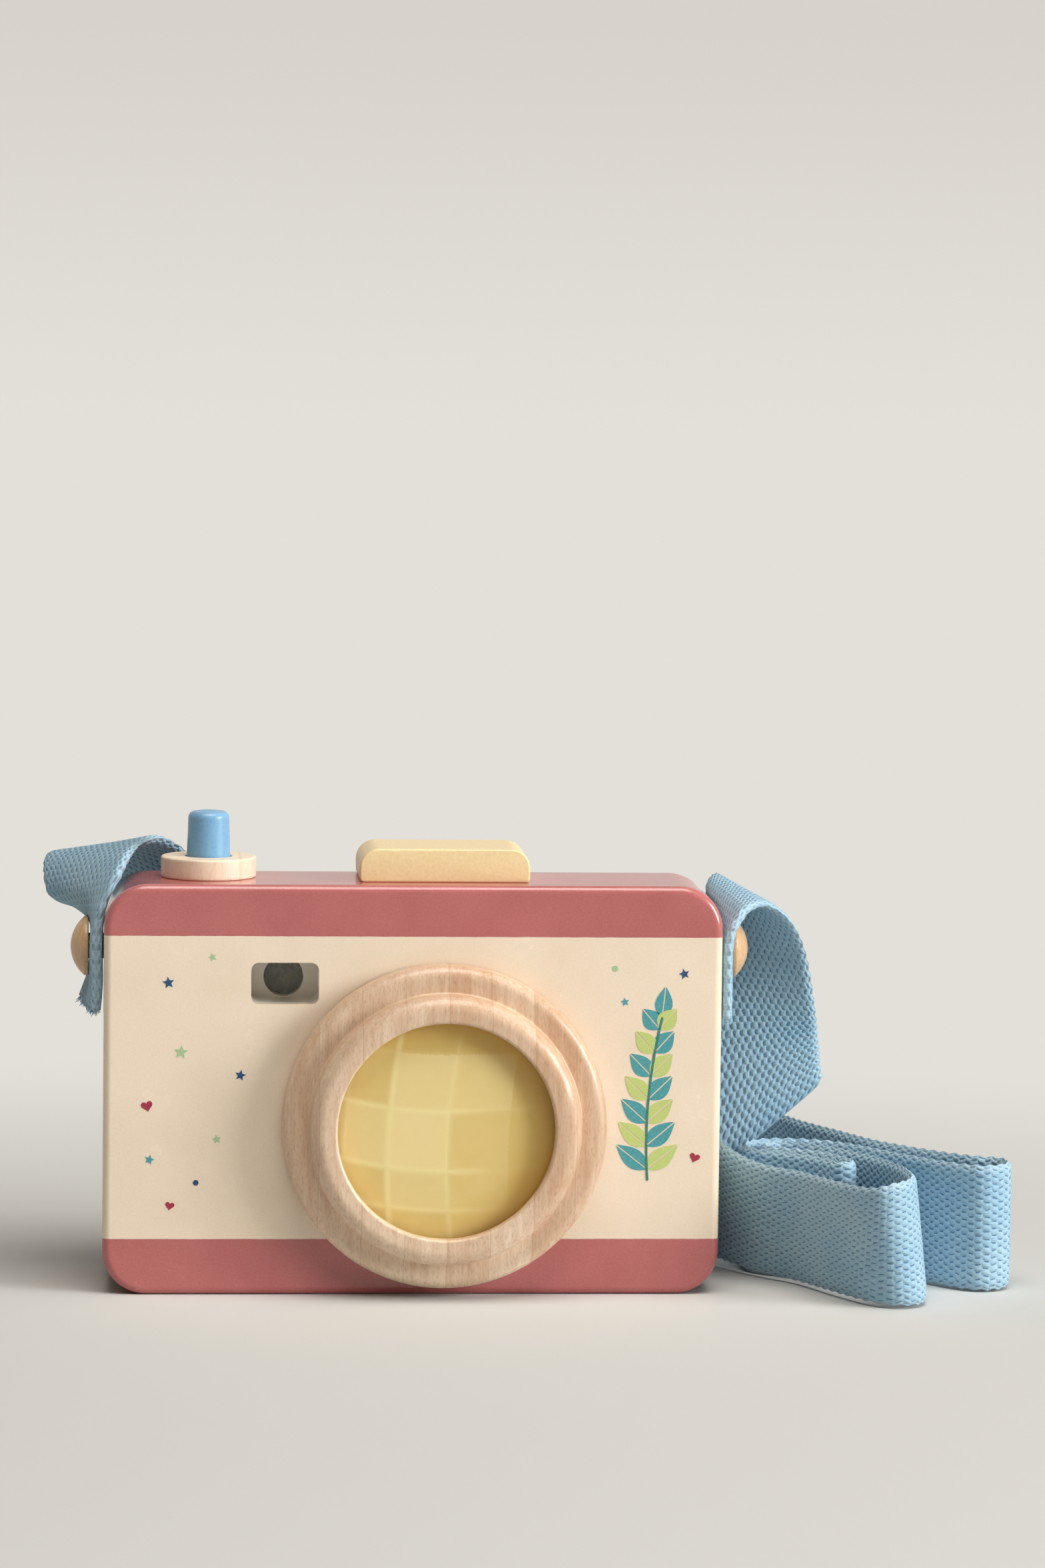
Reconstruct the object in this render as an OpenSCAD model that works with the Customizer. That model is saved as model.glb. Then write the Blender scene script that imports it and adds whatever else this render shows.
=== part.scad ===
// Wooden toy camera: a painted box body with a turned lens ring that spins,
// a sprung shutter button, a viewfinder window and a webbing strap on two pegs.
// Millimetres. Seen from the front, +X is to the right, +Y to the back and +Z up.
// The origin is on the base, under the middle of the body.

/* [Body] */
// Width of the body
body_w = 120; // [114:1:140]
// Depth of the body with its front panel
body_d = 27; // [26:0.5:34]
// Height of the body
body_h = 80; // [77:1:95]
// Corner radius seen from the front
corner_r = 8.5; // [5:0.5:10]
// Rounding of the front and back edges
edge_r = 1.5; // [0.5:0.1:2.5]
// Thickness of the front panel
panel_t = 4.2; // [3.8:0.1:5]
// Thickness of the wall at the back of the lens chamber
back_wall = 4; // [3:0.5:6]

/* [Lens ring] */
// Distance of the lens axis to the right of the middle
lens_x = 6; // [4:0.5:12]
// Height of the lens axis above the base
lens_z = 33.5; // [33:0.5:36]
// Radius of the ring's wide step
step_r = 31.5; // [30:0.5:32.5]
// Height of the ring's wide step
step_h = 5.6; // [4.5:0.1:6.5]
// Rounding of the wide step's edge
step_round = 2.2; // [1:0.1:3]
// Radius of the ring's narrow step
nose_r = 26.3; // [25:0.1:27.5]
// Height of the whole ring in front of the panel
nose_h = 10.5; // [9.5:0.1:13]
// Rounding of the narrow step's edge
nose_round = 3; // [1:0.1:3.5]
// Width of the lip that holds the lens from the front
lens_lip = 1; // [0.6:0.1:2]
// Rounding of the lip's inner edge
lip_round = 0.6; // [0.3:0.1:0.8]
// Wall of the spigot that turns in the panel, round the lens
spigot_wall = 2.45; // [2:0.05:3.5]
// Width of the keeper washer, round the spigot
keeper_w = 3; // [2.5:0.1:4.5]
// Thickness of the keeper washer
keeper_t = 3; // [2:0.1:4]

/* [Lens] */
// Radius of the lens
lens_r = 22; // [21.8:0.1:22.6]
// Depth of the lens behind the front of the ring
lens_recess = 2.4; // [2:0.1:5]
// Thickness of the lens at its rim
lens_rim = 3; // [2:0.1:3.5]
// Height of the cut facets behind the rim
facet_rise = 3; // [2:0.1:3.5]
// Width of one facet
facet_w = 11.5; // [10:0.1:14]
// Distance of a facet edge to the right of the lens axis
facet_x = 1.2; // [-4:0.1:4]
// Distance of a facet edge above the lens axis
facet_z = 4.3; // [0:0.1:6]
// Drop of the facets' curve at one millimetre from its middle
facet_curve = 0.006; // [0.003:0.001:0.007]
// Thickness of the hoop behind the lens, along the axis
hoop_t = 3; // [2:0.1:4]
// Width of the hoop behind the lens, across the axis
hoop_w = 1.6; // [1:0.1:2.5]
// Radius of the chamber behind the lens
chamber_r = 20; // [15:0.5:22]
// Radius of the eye hole at the back
eye_r = 8; // [6:0.5:12]
// Chamfer of the eye hole
eye_chamfer = 1; // [0.5:0.1:2]

/* [Viewfinder] */
// Distance of the viewfinder's middle from the left side
finder_inset = 35; // [34.5:0.5:36]
// Distance of the viewfinder below the top
finder_drop = 19.1; // [17:0.1:20]
// Width of the pocket
finder_w = 13.1; // [11:0.1:14]
// Height of the pocket
finder_h = 8.1; // [8:0.1:10]
// Corner radius of the pocket
finder_corner = 1.5; // [0.5:0.1:2.5]
// Depth of the pocket
finder_depth = 11.6; // [8:0.1:14]
// Radius of the round hole behind the pocket
hole_r = 3.9; // [3:0.1:3.9]
// Depth of the pane inside the round hole
pane_inset = 3; // [1:0.1:5]
// Thickness of the pane
pane_t = 1.5; // [1:0.1:3]

/* [Shutter button] */
// Distance of the button's axis from the left side
button_inset = 20.3; // [18:0.1:21]
// Radius of the button where it leaves the collar
button_r = 4.25; // [3.8:0.05:4.6]
// Radius of the button near its top
button_tip_r = 4; // [3:0.05:4.2]
// Height of the button above the collar
button_rise = 9; // [7:0.1:12]
// Rounding of the button's top edge
button_round = 1.3; // [0.5:0.1:2]
// Radius of the button's foot flange
foot_r = 5.4; // [5.2:0.05:5.8]
// Thickness of the foot flange
foot_t = 3; // [2:0.1:4]
// Radius of the stub that guides the spring
stub_r = 2.8; // [2:0.1:2.9]
// Length of the stub
stub_l = 5; // [3:0.1:6]
// Travel of the button
button_travel = 4; // [3:0.1:5]
// Radius of the collar
collar_r = 9.3; // [8:0.1:11]
// Height of the collar
collar_h = 4.1; // [3:0.1:6]
// Chamfer of the collar's edges
collar_chamfer = 0.4; // [0.2:0.1:0.8]

/* [Spring] */
// Radius of the coil at the middle of its wire
coil_r = 3.9; // [3.6:0.05:4.2]
// Diameter of the wire
wire_d = 0.8; // [0.5:0.05:1]
// Length of the spring while the button is pressed
spring_pressed = 14; // [11:0.5:18]
// Number of turns
coil_turns = 7; // [5:1:9]

/* [Flash block] */
// Distance of the block to the right of the middle
flash_x = 6.1; // [0:0.1:12]
// Width of the block
flash_w = 33.2; // [28:0.1:40]
// Depth of the block
flash_d = 19; // [14:0.5:20]
// Height of the block
flash_h = 6.5; // [5:0.1:8]
// Radius of the block's upper corners
flash_top_r = 3.7; // [2:0.1:4]
// Radius of the block's lower corners
flash_foot_r = 0.8; // [0.4:0.1:1]

/* [Pegs] */
// Distance of the pegs below the top
peg_drop = 13.7; // [12:0.1:16]
// Radius of the peg's shank
shank_r = 2.5; // [2:0.1:3]
// Length of the shank inside the body
shank_l = 11; // [8:0.5:11.5]
// Radius of the domed head
head_r = 5.8; // [5:0.1:7]
// Height of the head's rim
head_rim = 0.8; // [0.4:0.1:1.5]
// Height of the dome above the rim
dome_h = 2.7; // [2:0.1:4]

/* [Dowels] */
// Radius of the dowels between panel and body
panel_dowel_r = 2.5; // [1.5:0.1:3]
// Length of the panel dowels
panel_dowel_l = 11; // [8:0.5:14]
// Depth of the panel dowels in the panel
panel_dowel_seat = 2.8; // [2:0.1:3]
// Distance of the panel dowels from the body's sides
dowel_side = 8; // [7:0.5:9]
// Distance of the panel dowels from the base and the top
dowel_rise = 7.5; // [7:0.5:8]
// Radius of the dowels under the block
flash_dowel_r = 2; // [1:0.1:2.5]
// Length of the dowels under the block
flash_dowel_l = 10; // [8:0.5:12]
// Depth of the dowels in the block
flash_dowel_seat = 3.8; // [3:0.1:4]
// Distance between the dowels under the block
flash_dowel_gap = 18; // [14:0.5:20]

/* [Strap] */
// Width of the webbing
strap_w = 25; // [20:0.5:27]
// Thickness of the webbing
strap_t = 1.8; // [1.2:0.1:2]

/* [Clearances] */
// Gap round a glued piece
glue_gap = 0.05; // [0.02:0.01:0.1]
// Gap round the spigot that turns in the panel
ring_fit = 0.08; // [0.03:0.01:0.1]
// Gap between pieces that move past each other
run_gap = 0.3; // [0.2:0.05:0.5]
// Gap between the button's foot flange and the collar that stops it
stop_gap = 0.1; // [0.05:0.05:0.2]
// Gap between the strap and the pegs and the body's sides
strap_gap = 0.6; // [0.4:0.1:1]
// Gap between the strap's folds and the floor
floor_gap = 0.3; // [0.2:0.1:0.6]

/* [Hidden] */
$fn = 96;
// Extra length of a cut past the face that it opens
cut = 1;

// Planes across the depth
front_y = -body_d / 2;
back_y = body_d / 2;
joint_y = front_y + panel_t;
mid_y = (joint_y + back_y) / 2;
ring_back_y = front_y - run_gap;
ring_front_y = ring_back_y - nose_h;
lens_front_y = ring_front_y + lens_recess;
lens_back_y = lens_front_y + lens_rim;
keeper_front_y = joint_y + run_gap;
keeper_back_y = keeper_front_y + keeper_t;
recess_back_y = keeper_back_y + run_gap;
pocket_back_y = front_y + finder_depth;
pane_front_y = pocket_back_y + pane_inset;

// Heights and places
finder_x = finder_inset - body_w / 2;
finder_z = body_h - finder_drop;
button_x = button_inset - body_w / 2;
peg_z = body_h - peg_drop;
foot_top_z = body_h - stop_gap;
foot_bottom_z = foot_top_z - foot_t;
spring_l = spring_pressed + button_travel;
spring_floor_z = foot_bottom_z - spring_l;
button_bore_r = foot_r + run_gap;
collar_hole_r = button_r + run_gap;
lens_seat_r = lens_r + glue_gap;
mouth_r = lens_r - lens_lip;
spigot_r = lens_seat_r + spigot_wall;
keeper_r = spigot_r + keeper_w;
hoop_r = lens_r - glue_gap;
recess_r = keeper_r + 2 * run_gap;
head_gap = strap_t + 2 * strap_gap;
strap_x = body_w / 2 + strap_gap + strap_t / 2;

// Colours of the finishes
cream = "#F0DEC4";
beech = "#CDB296";
pale_wood = "#F0DCBE";
blue_paint = "#70ACDB";
yellow_paint = "#F3D99C";
yellow_glass = "#DECD82";
webbing_blue = "#87B4D2";

// Places a child so that its Z axis points to the front from the plane y
module facing_front(x, y, z) {
    translate([x, y, z])
        rotate([90, 0, 0])
            children();
}

// Cylinder from one plane across the depth to another
module bore(x, z, r, y0, y1) {
    facing_front(x, y1, z)
        cylinder(h = y1 - y0, r = r);
}

// Section of the body's rim: square at its foot, rounded at its outer upper edge
module rim_section(t) {
    square([corner_r - edge_r, t]);
    square([corner_r, t - edge_r]);
    translate([corner_r - edge_r, t - edge_r])
        circle(edge_r);
}

// Board with the body's outline, rounded corners and one rounded face, at Z = t
module board(t) {
    flat_w = body_w - 2 * corner_r;
    flat_h = body_h - 2 * corner_r;
    translate([-flat_w / 2, -flat_h / 2, 0])
        cube([flat_w, flat_h, t]);
    for (turn = [0, 180]) {
        rotate(turn)
            translate([flat_w / 2, 0, 0])
                rotate([90, 0, 0])
                    linear_extrude(flat_h, center = true)
                        rim_section(t);
        rotate(turn + 90)
            translate([flat_h / 2, 0, 0])
                rotate([90, 0, 0])
                    linear_extrude(flat_w, center = true)
                        rim_section(t);
    }
    for (sx = [-1, 1], sy = [-1, 1]) {
        turn = sx > 0 ? (sy > 0 ? 0 : 270) : (sy > 0 ? 90 : 180);
        translate([sx * flat_w / 2, sy * flat_h / 2, 0])
            rotate(turn)
                rotate_extrude(angle = 90)
                    rim_section(t);
    }
}

// Outline of the viewfinder pocket, seen from the front
module pocket_outline() {
    square([finder_w - 2 * finder_corner, finder_h], center = true);
    square([finder_w, finder_h - 2 * finder_corner], center = true);
    for (sx = [-1, 1], sy = [-1, 1])
        translate([sx * (finder_w / 2 - finder_corner), sy * (finder_h / 2 - finder_corner)])
            circle(finder_corner);
}

// The pocket as a cut, from in front of the panel to its floor
module pocket_cut() {
    facing_front(finder_x, pocket_back_y, finder_z)
        linear_extrude(finder_depth + cut)
            pocket_outline();
}

// Places of the four dowels between panel and body
function panel_dowel_at(sx, top) = [
    sx * (body_w / 2 - dowel_side),
    top ? body_h - dowel_rise : dowel_rise
];

// One dowel between panel and body, or its socket when gap is set
module panel_dowel_shape(sx, top, gap = 0) {
    at = panel_dowel_at(sx, top);
    y0 = joint_y - panel_dowel_seat - gap;
    bore(at[0], at[1], panel_dowel_r + gap, y0, y0 + panel_dowel_l + 2 * gap);
}

// All four dowel sockets
module panel_dowel_sockets() {
    for (sx = [-1, 1], top = [true, false])
        panel_dowel_shape(sx, top, glue_gap);
}

// One dowel under the block, or its socket when gap is set
module flash_dowel_shape(sx, gap = 0) {
    z0 = body_h + flash_dowel_seat - flash_dowel_l - gap;
    translate([flash_x + sx * flash_dowel_gap / 2, mid_y, z0])
        cylinder(h = flash_dowel_l + 2 * gap, r = flash_dowel_r + gap);
}

// Block of the body, bored for the lens, the viewfinder, the button, the pegs and the dowels
module main_body() {
    color(cream)
        difference() {
            translate([0, joint_y, body_h / 2])
                rotate([-90, 0, 0])
                    board(back_y - joint_y);
            bore(lens_x, lens_z, recess_r, joint_y - cut, recess_back_y);
            bore(lens_x, lens_z, chamber_r, joint_y, back_y - back_wall);
            bore(lens_x, lens_z, eye_r, joint_y, back_y + cut);
            translate([lens_x, back_y - eye_chamfer, lens_z])
                rotate([-90, 0, 0])
                    cylinder(h = eye_chamfer + cut, r1 = eye_r, r2 = eye_r + eye_chamfer + cut);
            pocket_cut();
            bore(finder_x, finder_z, hole_r, joint_y, back_y + cut);
            translate([button_x, mid_y, spring_floor_z])
                cylinder(h = body_h - spring_floor_z + cut, r = button_bore_r);
            for (sx = [-1, 1])
                peg_placed(sx)
                    translate([0, 0, -shank_l - glue_gap])
                        cylinder(h = shank_l + glue_gap + cut, r = shank_r + glue_gap);
            panel_dowel_sockets();
            flash_dowel_shape(-1, glue_gap);
            flash_dowel_shape(1, glue_gap);
        }
}

// Front board with the round hole for the ring and the window of the viewfinder
module front_panel() {
    color(cream)
        difference() {
            facing_front(0, joint_y, body_h / 2)
                board(panel_t);
            bore(lens_x, lens_z, spigot_r + ring_fit, front_y - cut, joint_y + cut);
            pocket_cut();
            panel_dowel_sockets();
        }
}

// Half section of a turned step with a rounded outer edge
module turned_step(r, h, round_r) {
    square([r - round_r, h]);
    square([r, h - round_r]);
    translate([r - round_r, h - round_r])
        circle(round_r);
}

// Turned ring: two rounded steps in front, a spigot behind and a seat for the lens inside
module lens_ring() {
    spigot_l = keeper_back_y - ring_back_y;
    color(beech)
        facing_front(lens_x, ring_back_y, lens_z)
            rotate_extrude()
                difference() {
                    union() {
                        turned_step(step_r, step_h, step_round);
                        turned_step(nose_r, nose_h, nose_round);
                        translate([0, -spigot_l])
                            square([spigot_r, spigot_l + step_h / 2]);
                    }
                    translate([0, -spigot_l - cut])
                        square([mouth_r, spigot_l + nose_h + 2 * cut]);
                    translate([0, -spigot_l - cut])
                        square([lens_seat_r, spigot_l + cut + nose_h - lens_recess]);
                    translate([mouth_r + lip_round, nose_h - lip_round])
                        difference() {
                            translate([-lip_round - cut, 0])
                                square(lip_round + cut);
                            circle(lip_round);
                        }
                }
}

// Cut back of the lens: a dome of flat squares between straight edges. The edges' corners
// lie on a round dome, which drops with the square of the distance from the lens axis.
module facet_dome() {
    n = 7;
    last = n - 1;
    edges = [for (i = [0:last]) (i - last / 2) * facet_w];
    top = [
        for (y = edges, x = edges)
            let (px = x + facet_x, py = y - facet_z)
            [px, py, facet_rise - facet_curve * (px * px + py * py)]
    ];
    floor_z = min([for (p = top) p[2]]) - cut;
    base = [for (p = top) [p[0], p[1], floor_z]];
    faces = concat(
        [for (j = [0:n - 2], i = [0:n - 2])
            [j * n + i, (j + 1) * n + i, (j + 1) * n + i + 1, j * n + i + 1]],
        [[n * n, n * n + last, 2 * n * n - 1, n * n + n * last]],
        [[for (i = [0:last]) i, for (i = [1, 0]) n * n + i * last]],
        [[for (i = [last:-1:0]) n * last + i, n * n + n * last, 2 * n * n - 1]],
        [[for (j = [last:-1:0]) j * n, n * n, n * n + n * last]],
        [[for (j = [0:last]) j * n + last, 2 * n * n - 1, n * n + last]]
    );
    polyhedron(points = concat(top, base), faces = faces);
}

// Clear lens: a flat disc in front, square facets behind
module faceted_lens() {
    color(yellow_glass)
        translate([lens_x, lens_front_y, lens_z])
            rotate([-90, 0, 0]) {
                cylinder(h = lens_rim, r = lens_r);
                translate([0, 0, lens_rim])
                    intersection() {
                        cylinder(h = facet_rise + cut, r = hoop_r - hoop_w - glue_gap);
                        facet_dome();
                    }
            }
}

// Hoop behind the lens, glued in the ring
module lens_retainer() {
    color(beech)
        difference() {
            bore(lens_x, lens_z, hoop_r, lens_back_y, lens_back_y + hoop_t);
            bore(lens_x, lens_z, hoop_r - hoop_w, lens_back_y - cut, lens_back_y + hoop_t + cut);
        }
}

// Washer glued on the spigot behind the panel
module ring_keeper() {
    color(beech)
        difference() {
            bore(lens_x, lens_z, keeper_r, keeper_front_y, keeper_back_y);
            bore(lens_x, lens_z, spigot_r + glue_gap, keeper_front_y - cut, keeper_back_y + cut);
        }
}

// Dark pane in the round hole of the viewfinder
module viewfinder_pane() {
    color("dimgray")
        bore(finder_x, finder_z, hole_r - glue_gap, pane_front_y, pane_front_y + pane_t);
}

// Wood collar on top, round the button
module button_collar() {
    c = collar_chamfer;
    color(pale_wood)
        translate([button_x, mid_y, body_h])
            rotate_extrude()
                difference() {
                    polygon([
                        [0, 0], [collar_r - c, 0], [collar_r, c], [collar_r, collar_h - c],
                        [collar_r - c, collar_h], [0, collar_h]
                    ]);
                    translate([0, -cut])
                        square([collar_hole_r, collar_h + 2 * cut]);
                }
}

// Turned button with its foot flange and spring stub
module shutter_button() {
    top_z = body_h + collar_h + button_rise;
    color(blue_paint)
        translate([button_x, mid_y, 0])
            rotate_extrude() {
                translate([0, foot_bottom_z])
                    square([foot_r, foot_t]);
                translate([0, foot_bottom_z - stub_l])
                    square([stub_r, stub_l + foot_t / 2]);
                polygon([
                    [0, foot_bottom_z + foot_t / 2], [button_r, foot_bottom_z + foot_t / 2],
                    [button_r, body_h + collar_h], [button_tip_r, top_z - button_round],
                    [button_tip_r - button_round, top_z - button_round],
                    [button_tip_r - button_round, top_z], [0, top_z]
                ]);
                translate([button_tip_r - button_round, top_z - button_round])
                    intersection() {
                        circle(button_round);
                        square(button_round);
                    }
            }
}

// Coil spring: one wire swept round its helix, between the bore's floor and the foot flange
module button_spring() {
    sides = 6;
    rings_per_turn = 12;
    echo(gap_between_coils = (spring_l - wire_d) / coil_turns - wire_d);
    seat = wire_d / 2 + glue_gap;
    rings = coil_turns * rings_per_turn;
    rise = spring_l - 2 * seat;
    points = [
        for (i = [0:rings], k = [0:sides - 1])
            let (
                a = 360 * i / rings_per_turn,
                t = 360 * k / sides,
                r = coil_r + wire_d / 2 * cos(t)
            )
            [r * cos(a), r * sin(a), seat + rise * i / rings + wire_d / 2 * sin(t)]
    ];
    faces = concat(
        [for (i = [0:rings - 1], k = [0:sides - 1])
            [i * sides + k, (i + 1) * sides + (k + 1) % sides, (i + 1) * sides + k]],
        [for (i = [0:rings - 1], k = [0:sides - 1])
            [i * sides + k, i * sides + (k + 1) % sides, (i + 1) * sides + (k + 1) % sides]],
        [[for (k = [sides - 1:-1:0]) k]],
        [[for (k = [0:sides - 1]) rings * sides + k]]
    );
    color("silver")
        translate([button_x, mid_y, spring_floor_z])
            polyhedron(points = points, faces = faces);
}

// Block on top, round at its upper corners
module flash_block() {
    color(yellow_paint)
        difference() {
            facing_front(flash_x, mid_y + flash_d / 2, body_h)
                linear_extrude(flash_d)
                    flash_outline();
            flash_dowel_shape(-1, glue_gap);
            flash_dowel_shape(1, glue_gap);
        }
}

// Front outline of the block: a half with a small arc at its foot and a large one on top,
// and the same half mirrored
module flash_outline() {
    half = flash_w / 2;
    shoulder = flash_h - flash_top_r;
    for (side = [0, 1])
        mirror([side, 0]) {
            square([half - flash_foot_r, shoulder]);
            translate([0, flash_foot_r])
                square([half, shoulder - flash_foot_r]);
            square([half - flash_top_r, flash_h]);
            translate([half - flash_foot_r, flash_foot_r])
                circle(flash_foot_r);
            translate([half - flash_top_r, shoulder])
                intersection() {
                    circle(flash_top_r);
                    square(flash_top_r);
                }
        }
}

// Dowels under the block
module flash_dowel_left() {
    color(beech)
        flash_dowel_shape(-1);
}
module flash_dowel_right() {
    color(beech)
        flash_dowel_shape(1);
}

// Dowels between panel and body
module panel_dowel_top_left() {
    color(beech)
        panel_dowel_shape(-1, true);
}
module panel_dowel_top_right() {
    color(beech)
        panel_dowel_shape(1, true);
}
module panel_dowel_bottom_left() {
    color(beech)
        panel_dowel_shape(-1, false);
}
module panel_dowel_bottom_right() {
    color(beech)
        panel_dowel_shape(1, false);
}

// Puts a child on the body's side at the peg's height, its Z axis pointing outwards
module peg_placed(sx) {
    translate([sx * body_w / 2, mid_y, peg_z])
        rotate([0, sx * 90, 0])
            children();
}

// Turned peg: a shank in the body and a domed head outside the strap
module peg(sx) {
    dome_r = (pow(head_r, 2) + pow(dome_h, 2)) / (2 * dome_h);
    color(beech)
        peg_placed(sx)
            rotate_extrude() {
                translate([0, -shank_l])
                    square([shank_r, shank_l + head_gap + head_rim]);
                translate([0, head_gap])
                    square([head_r, head_rim]);
                translate([0, head_gap + head_rim])
                    intersection() {
                        translate([0, dome_h - dome_r])
                            circle(dome_r);
                        square([head_r, dome_h]);
                    }
            }
}
module strap_peg_left() {
    peg(-1);
}
module strap_peg_right() {
    peg(1);
}

// The strap's route is a row of straight lines across the webbing, each given by its middle
// and by its lay, which points from the middle to one edge and is 1 long where it is square
// to the strap. That edge is in front at the pegs and on top on the floor.

// Loop over the left corner, from the hanging end up, over and down behind the body.
// Offsets from the place of the strap's middle on the left peg.
left_loop = [
    [[-1.3, 0.2, -11.6], [0.1, -0.99, 0.01]],
    [[-0.2, 0, -6.3], [0.03, -1, 0]],
    [[0, 0, 0], [0, -1, 0]],
    [[0, 0, 4.2], [0.02, -1, 0.04]],
    [[-1, 0, 7.8], [0.2, -0.97, 0.12]],
    [[-2.4, 1.7, 11.2], [0.53, -0.86, 0.24]],
    [[-2.2, 5.4, 15], [0.67, -0.76, 0.18]],
    [[-1, 11.4, 17.2], [0.73, -0.68, 0.15]],
    [[1.5, 17.4, 17.5], [0.72, -0.68, 0.19]],
    [[4.3, 22.4, 16.5], [0.7, -0.68, 0.26]],
    [[8.5, 25.1, 12.4], [0.68, -0.62, 0.41]],
    [[15, 23.4, 4.2], [0.68, -0.44, 0.6]],
    [[23.5, 19.4, -7.5], [0.64, -0.2, 0.74]],
    [[33.5, 16.4, -21.8], [0.64, -0.04, 0.76]]
];

// Slanted stretch behind the body, down to where the strap stands on edge.
// Offsets from the left side of the body, from its back and from the floor.
back_fall = [
    [[46.5, 3.3, 29.8], [0.44, 0.02, 0.9]],
    [[66, 2.7, 18.6], [0.16, 0.01, 0.99]]
];

// Stretches that stand on edge, along the back and through the folds on the floor.
// Offsets in X from the right side of the body and in Y from its back. Where more is given,
// it is the lean of the upper edge towards +Y, the lift off the floor and the lean towards +X.
floor_run = [
    [-32, 2.5, 0, 3], [-10, 2.4, 0, 2.5], [-2, 2.3, -1, 2.5], [2.4, 0.8, -4, 2],
    [5.6, -5.5, -8, 1.5], [10, -12.5, -9, 0.9], [16.5, -20.5, -9, 0.7], [22.7, -33.5, -9, 0.7],
    [27.5, -42, -8, 0.7], [32, -44.5, -4, 0.6, -1], [36.2, -41.5, -1, 0.5, -2.5],
    [37.8, -34.5, 0, 0.4, -2.5], [35.5, -23.5], [31.5, -11.5], [26, -2.5], [20, 4], [15.5, 6],
    [12.5, 4], [12.5, 0], [16, -2.5], [21, -6], [24.5, -10.4], [26.6, -14.8], [27.2, -18],
    [26.3, -20.4], [24.1, -20.4], [23, -18.2], [21.2, -15], [18.3, -11.4], [14.5, -7.8], [11, -5],
    [8.5, -1], [9, 5], [13, 9], [20, 9], [28, 4.5], [36, -6.5], [43, -16.5], [48, -22.5],
    [52.6, -25], [57.2, -22], [57.2, -15.5], [51.6, -12.5], [45.5, -6.5], [39, 1.5], [34, 9.5],
    [29, 20.5], [23.5, 32.5], [19.5, 44.5], [15, 54.5], [7, 59.5],
    [-2, 57], [-6, 48.5, 0, 0.6]
];

// Rise from the floor to the fold behind the body.
// Offsets from the right side of the body, from its back and from the floor.
right_rise = [
    [[-2.2, 33, 16.3], [0.38, 0.28, 0.86]],
    [[6, 20.5, 22.3], [0.84, 0.08, 0.86]],
    [[12, 15, 25.3], [1, 0, 0.86]],
    [[12.1, 13.5, 31.5], [1, 0, 0.68]]
];

// Loop over the right corner, from the fold up, over and down to the hanging end.
// Offsets from the place of the strap's middle on the right peg.
right_loop = [
    [[9.9, 24.7, -23.3], [1, -0.06, 0.24]],
    [[9.2, 23.9, -15], [0.99, -0.16, -0.02]],
    [[8, 22.2, -5], [0.92, -0.42, -0.06]],
    [[7.5, 19.9, 1.9], [0.76, -0.64, -0.1]],
    [[6.4, 15.9, 7.4], [0.55, -0.8, -0.15]],
    [[4.5, 10.2, 10.3], [0.32, -0.9, -0.14]],
    [[1.7, 4.7, 9.9], [0.23, -0.94, -0.13]],
    [[0.5, 1.9, 8.2], [0.16, -0.97, -0.12]],
    [[0.1, 0.4, 5], [0.05, -1, -0.06]],
    [[0, 0, 0], [0, -1, 0]],
    [[0, 0, -6.3], [0, -1, 0]],
    [[0, 0, -12.8], [0, -1, 0]]
];

// One line of a hanging stretch, from its offset to the point at
function hung(p, at) = [p[0] + at, p[1]];

// One line of a stretch that stands on edge
function stand(p) =
    let (
        lean_y = len(p) > 2 ? p[2] / strap_w : 0,
        lift = len(p) > 3 ? p[3] : floor_gap,
        lean_x = len(p) > 4 ? p[4] / strap_w : 0,
        up = sqrt(1 - lean_y * lean_y - lean_x * lean_x)
    )
    [[body_w / 2 + p[0], back_y + p[1], lift + up * strap_w / 2], [lean_x, lean_y, up]];

route = concat(
    [for (p = left_loop) hung(p, [-strap_x, mid_y, peg_z])],
    [for (p = back_fall) hung(p, [-body_w / 2, back_y, 0])],
    [for (p = floor_run) stand(p)],
    [for (p = right_rise) hung(p, [body_w / 2, back_y, 0])],
    [for (p = right_loop) hung(p, [strap_x, mid_y, peg_z])]
);

// Smooth curve through a row of points, the place at u spans from its start
function smooth(row, u) =
    let (
        last = len(row) - 1,
        i = min(floor(u), last - 1),
        t = u - i,
        b = row[i],
        c = row[i + 1],
        a = i > 0 ? row[i - 1] : 2 * b - c,
        d = i + 1 < last ? row[i + 2] : 2 * c - b,
        bend = 2 * a - 5 * b + 4 * c - d,
        turn = 3 * (b - c) + d - a
    )
    b + ((c - a) * t + bend * t * t + turn * t * t * t) / 2;

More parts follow.
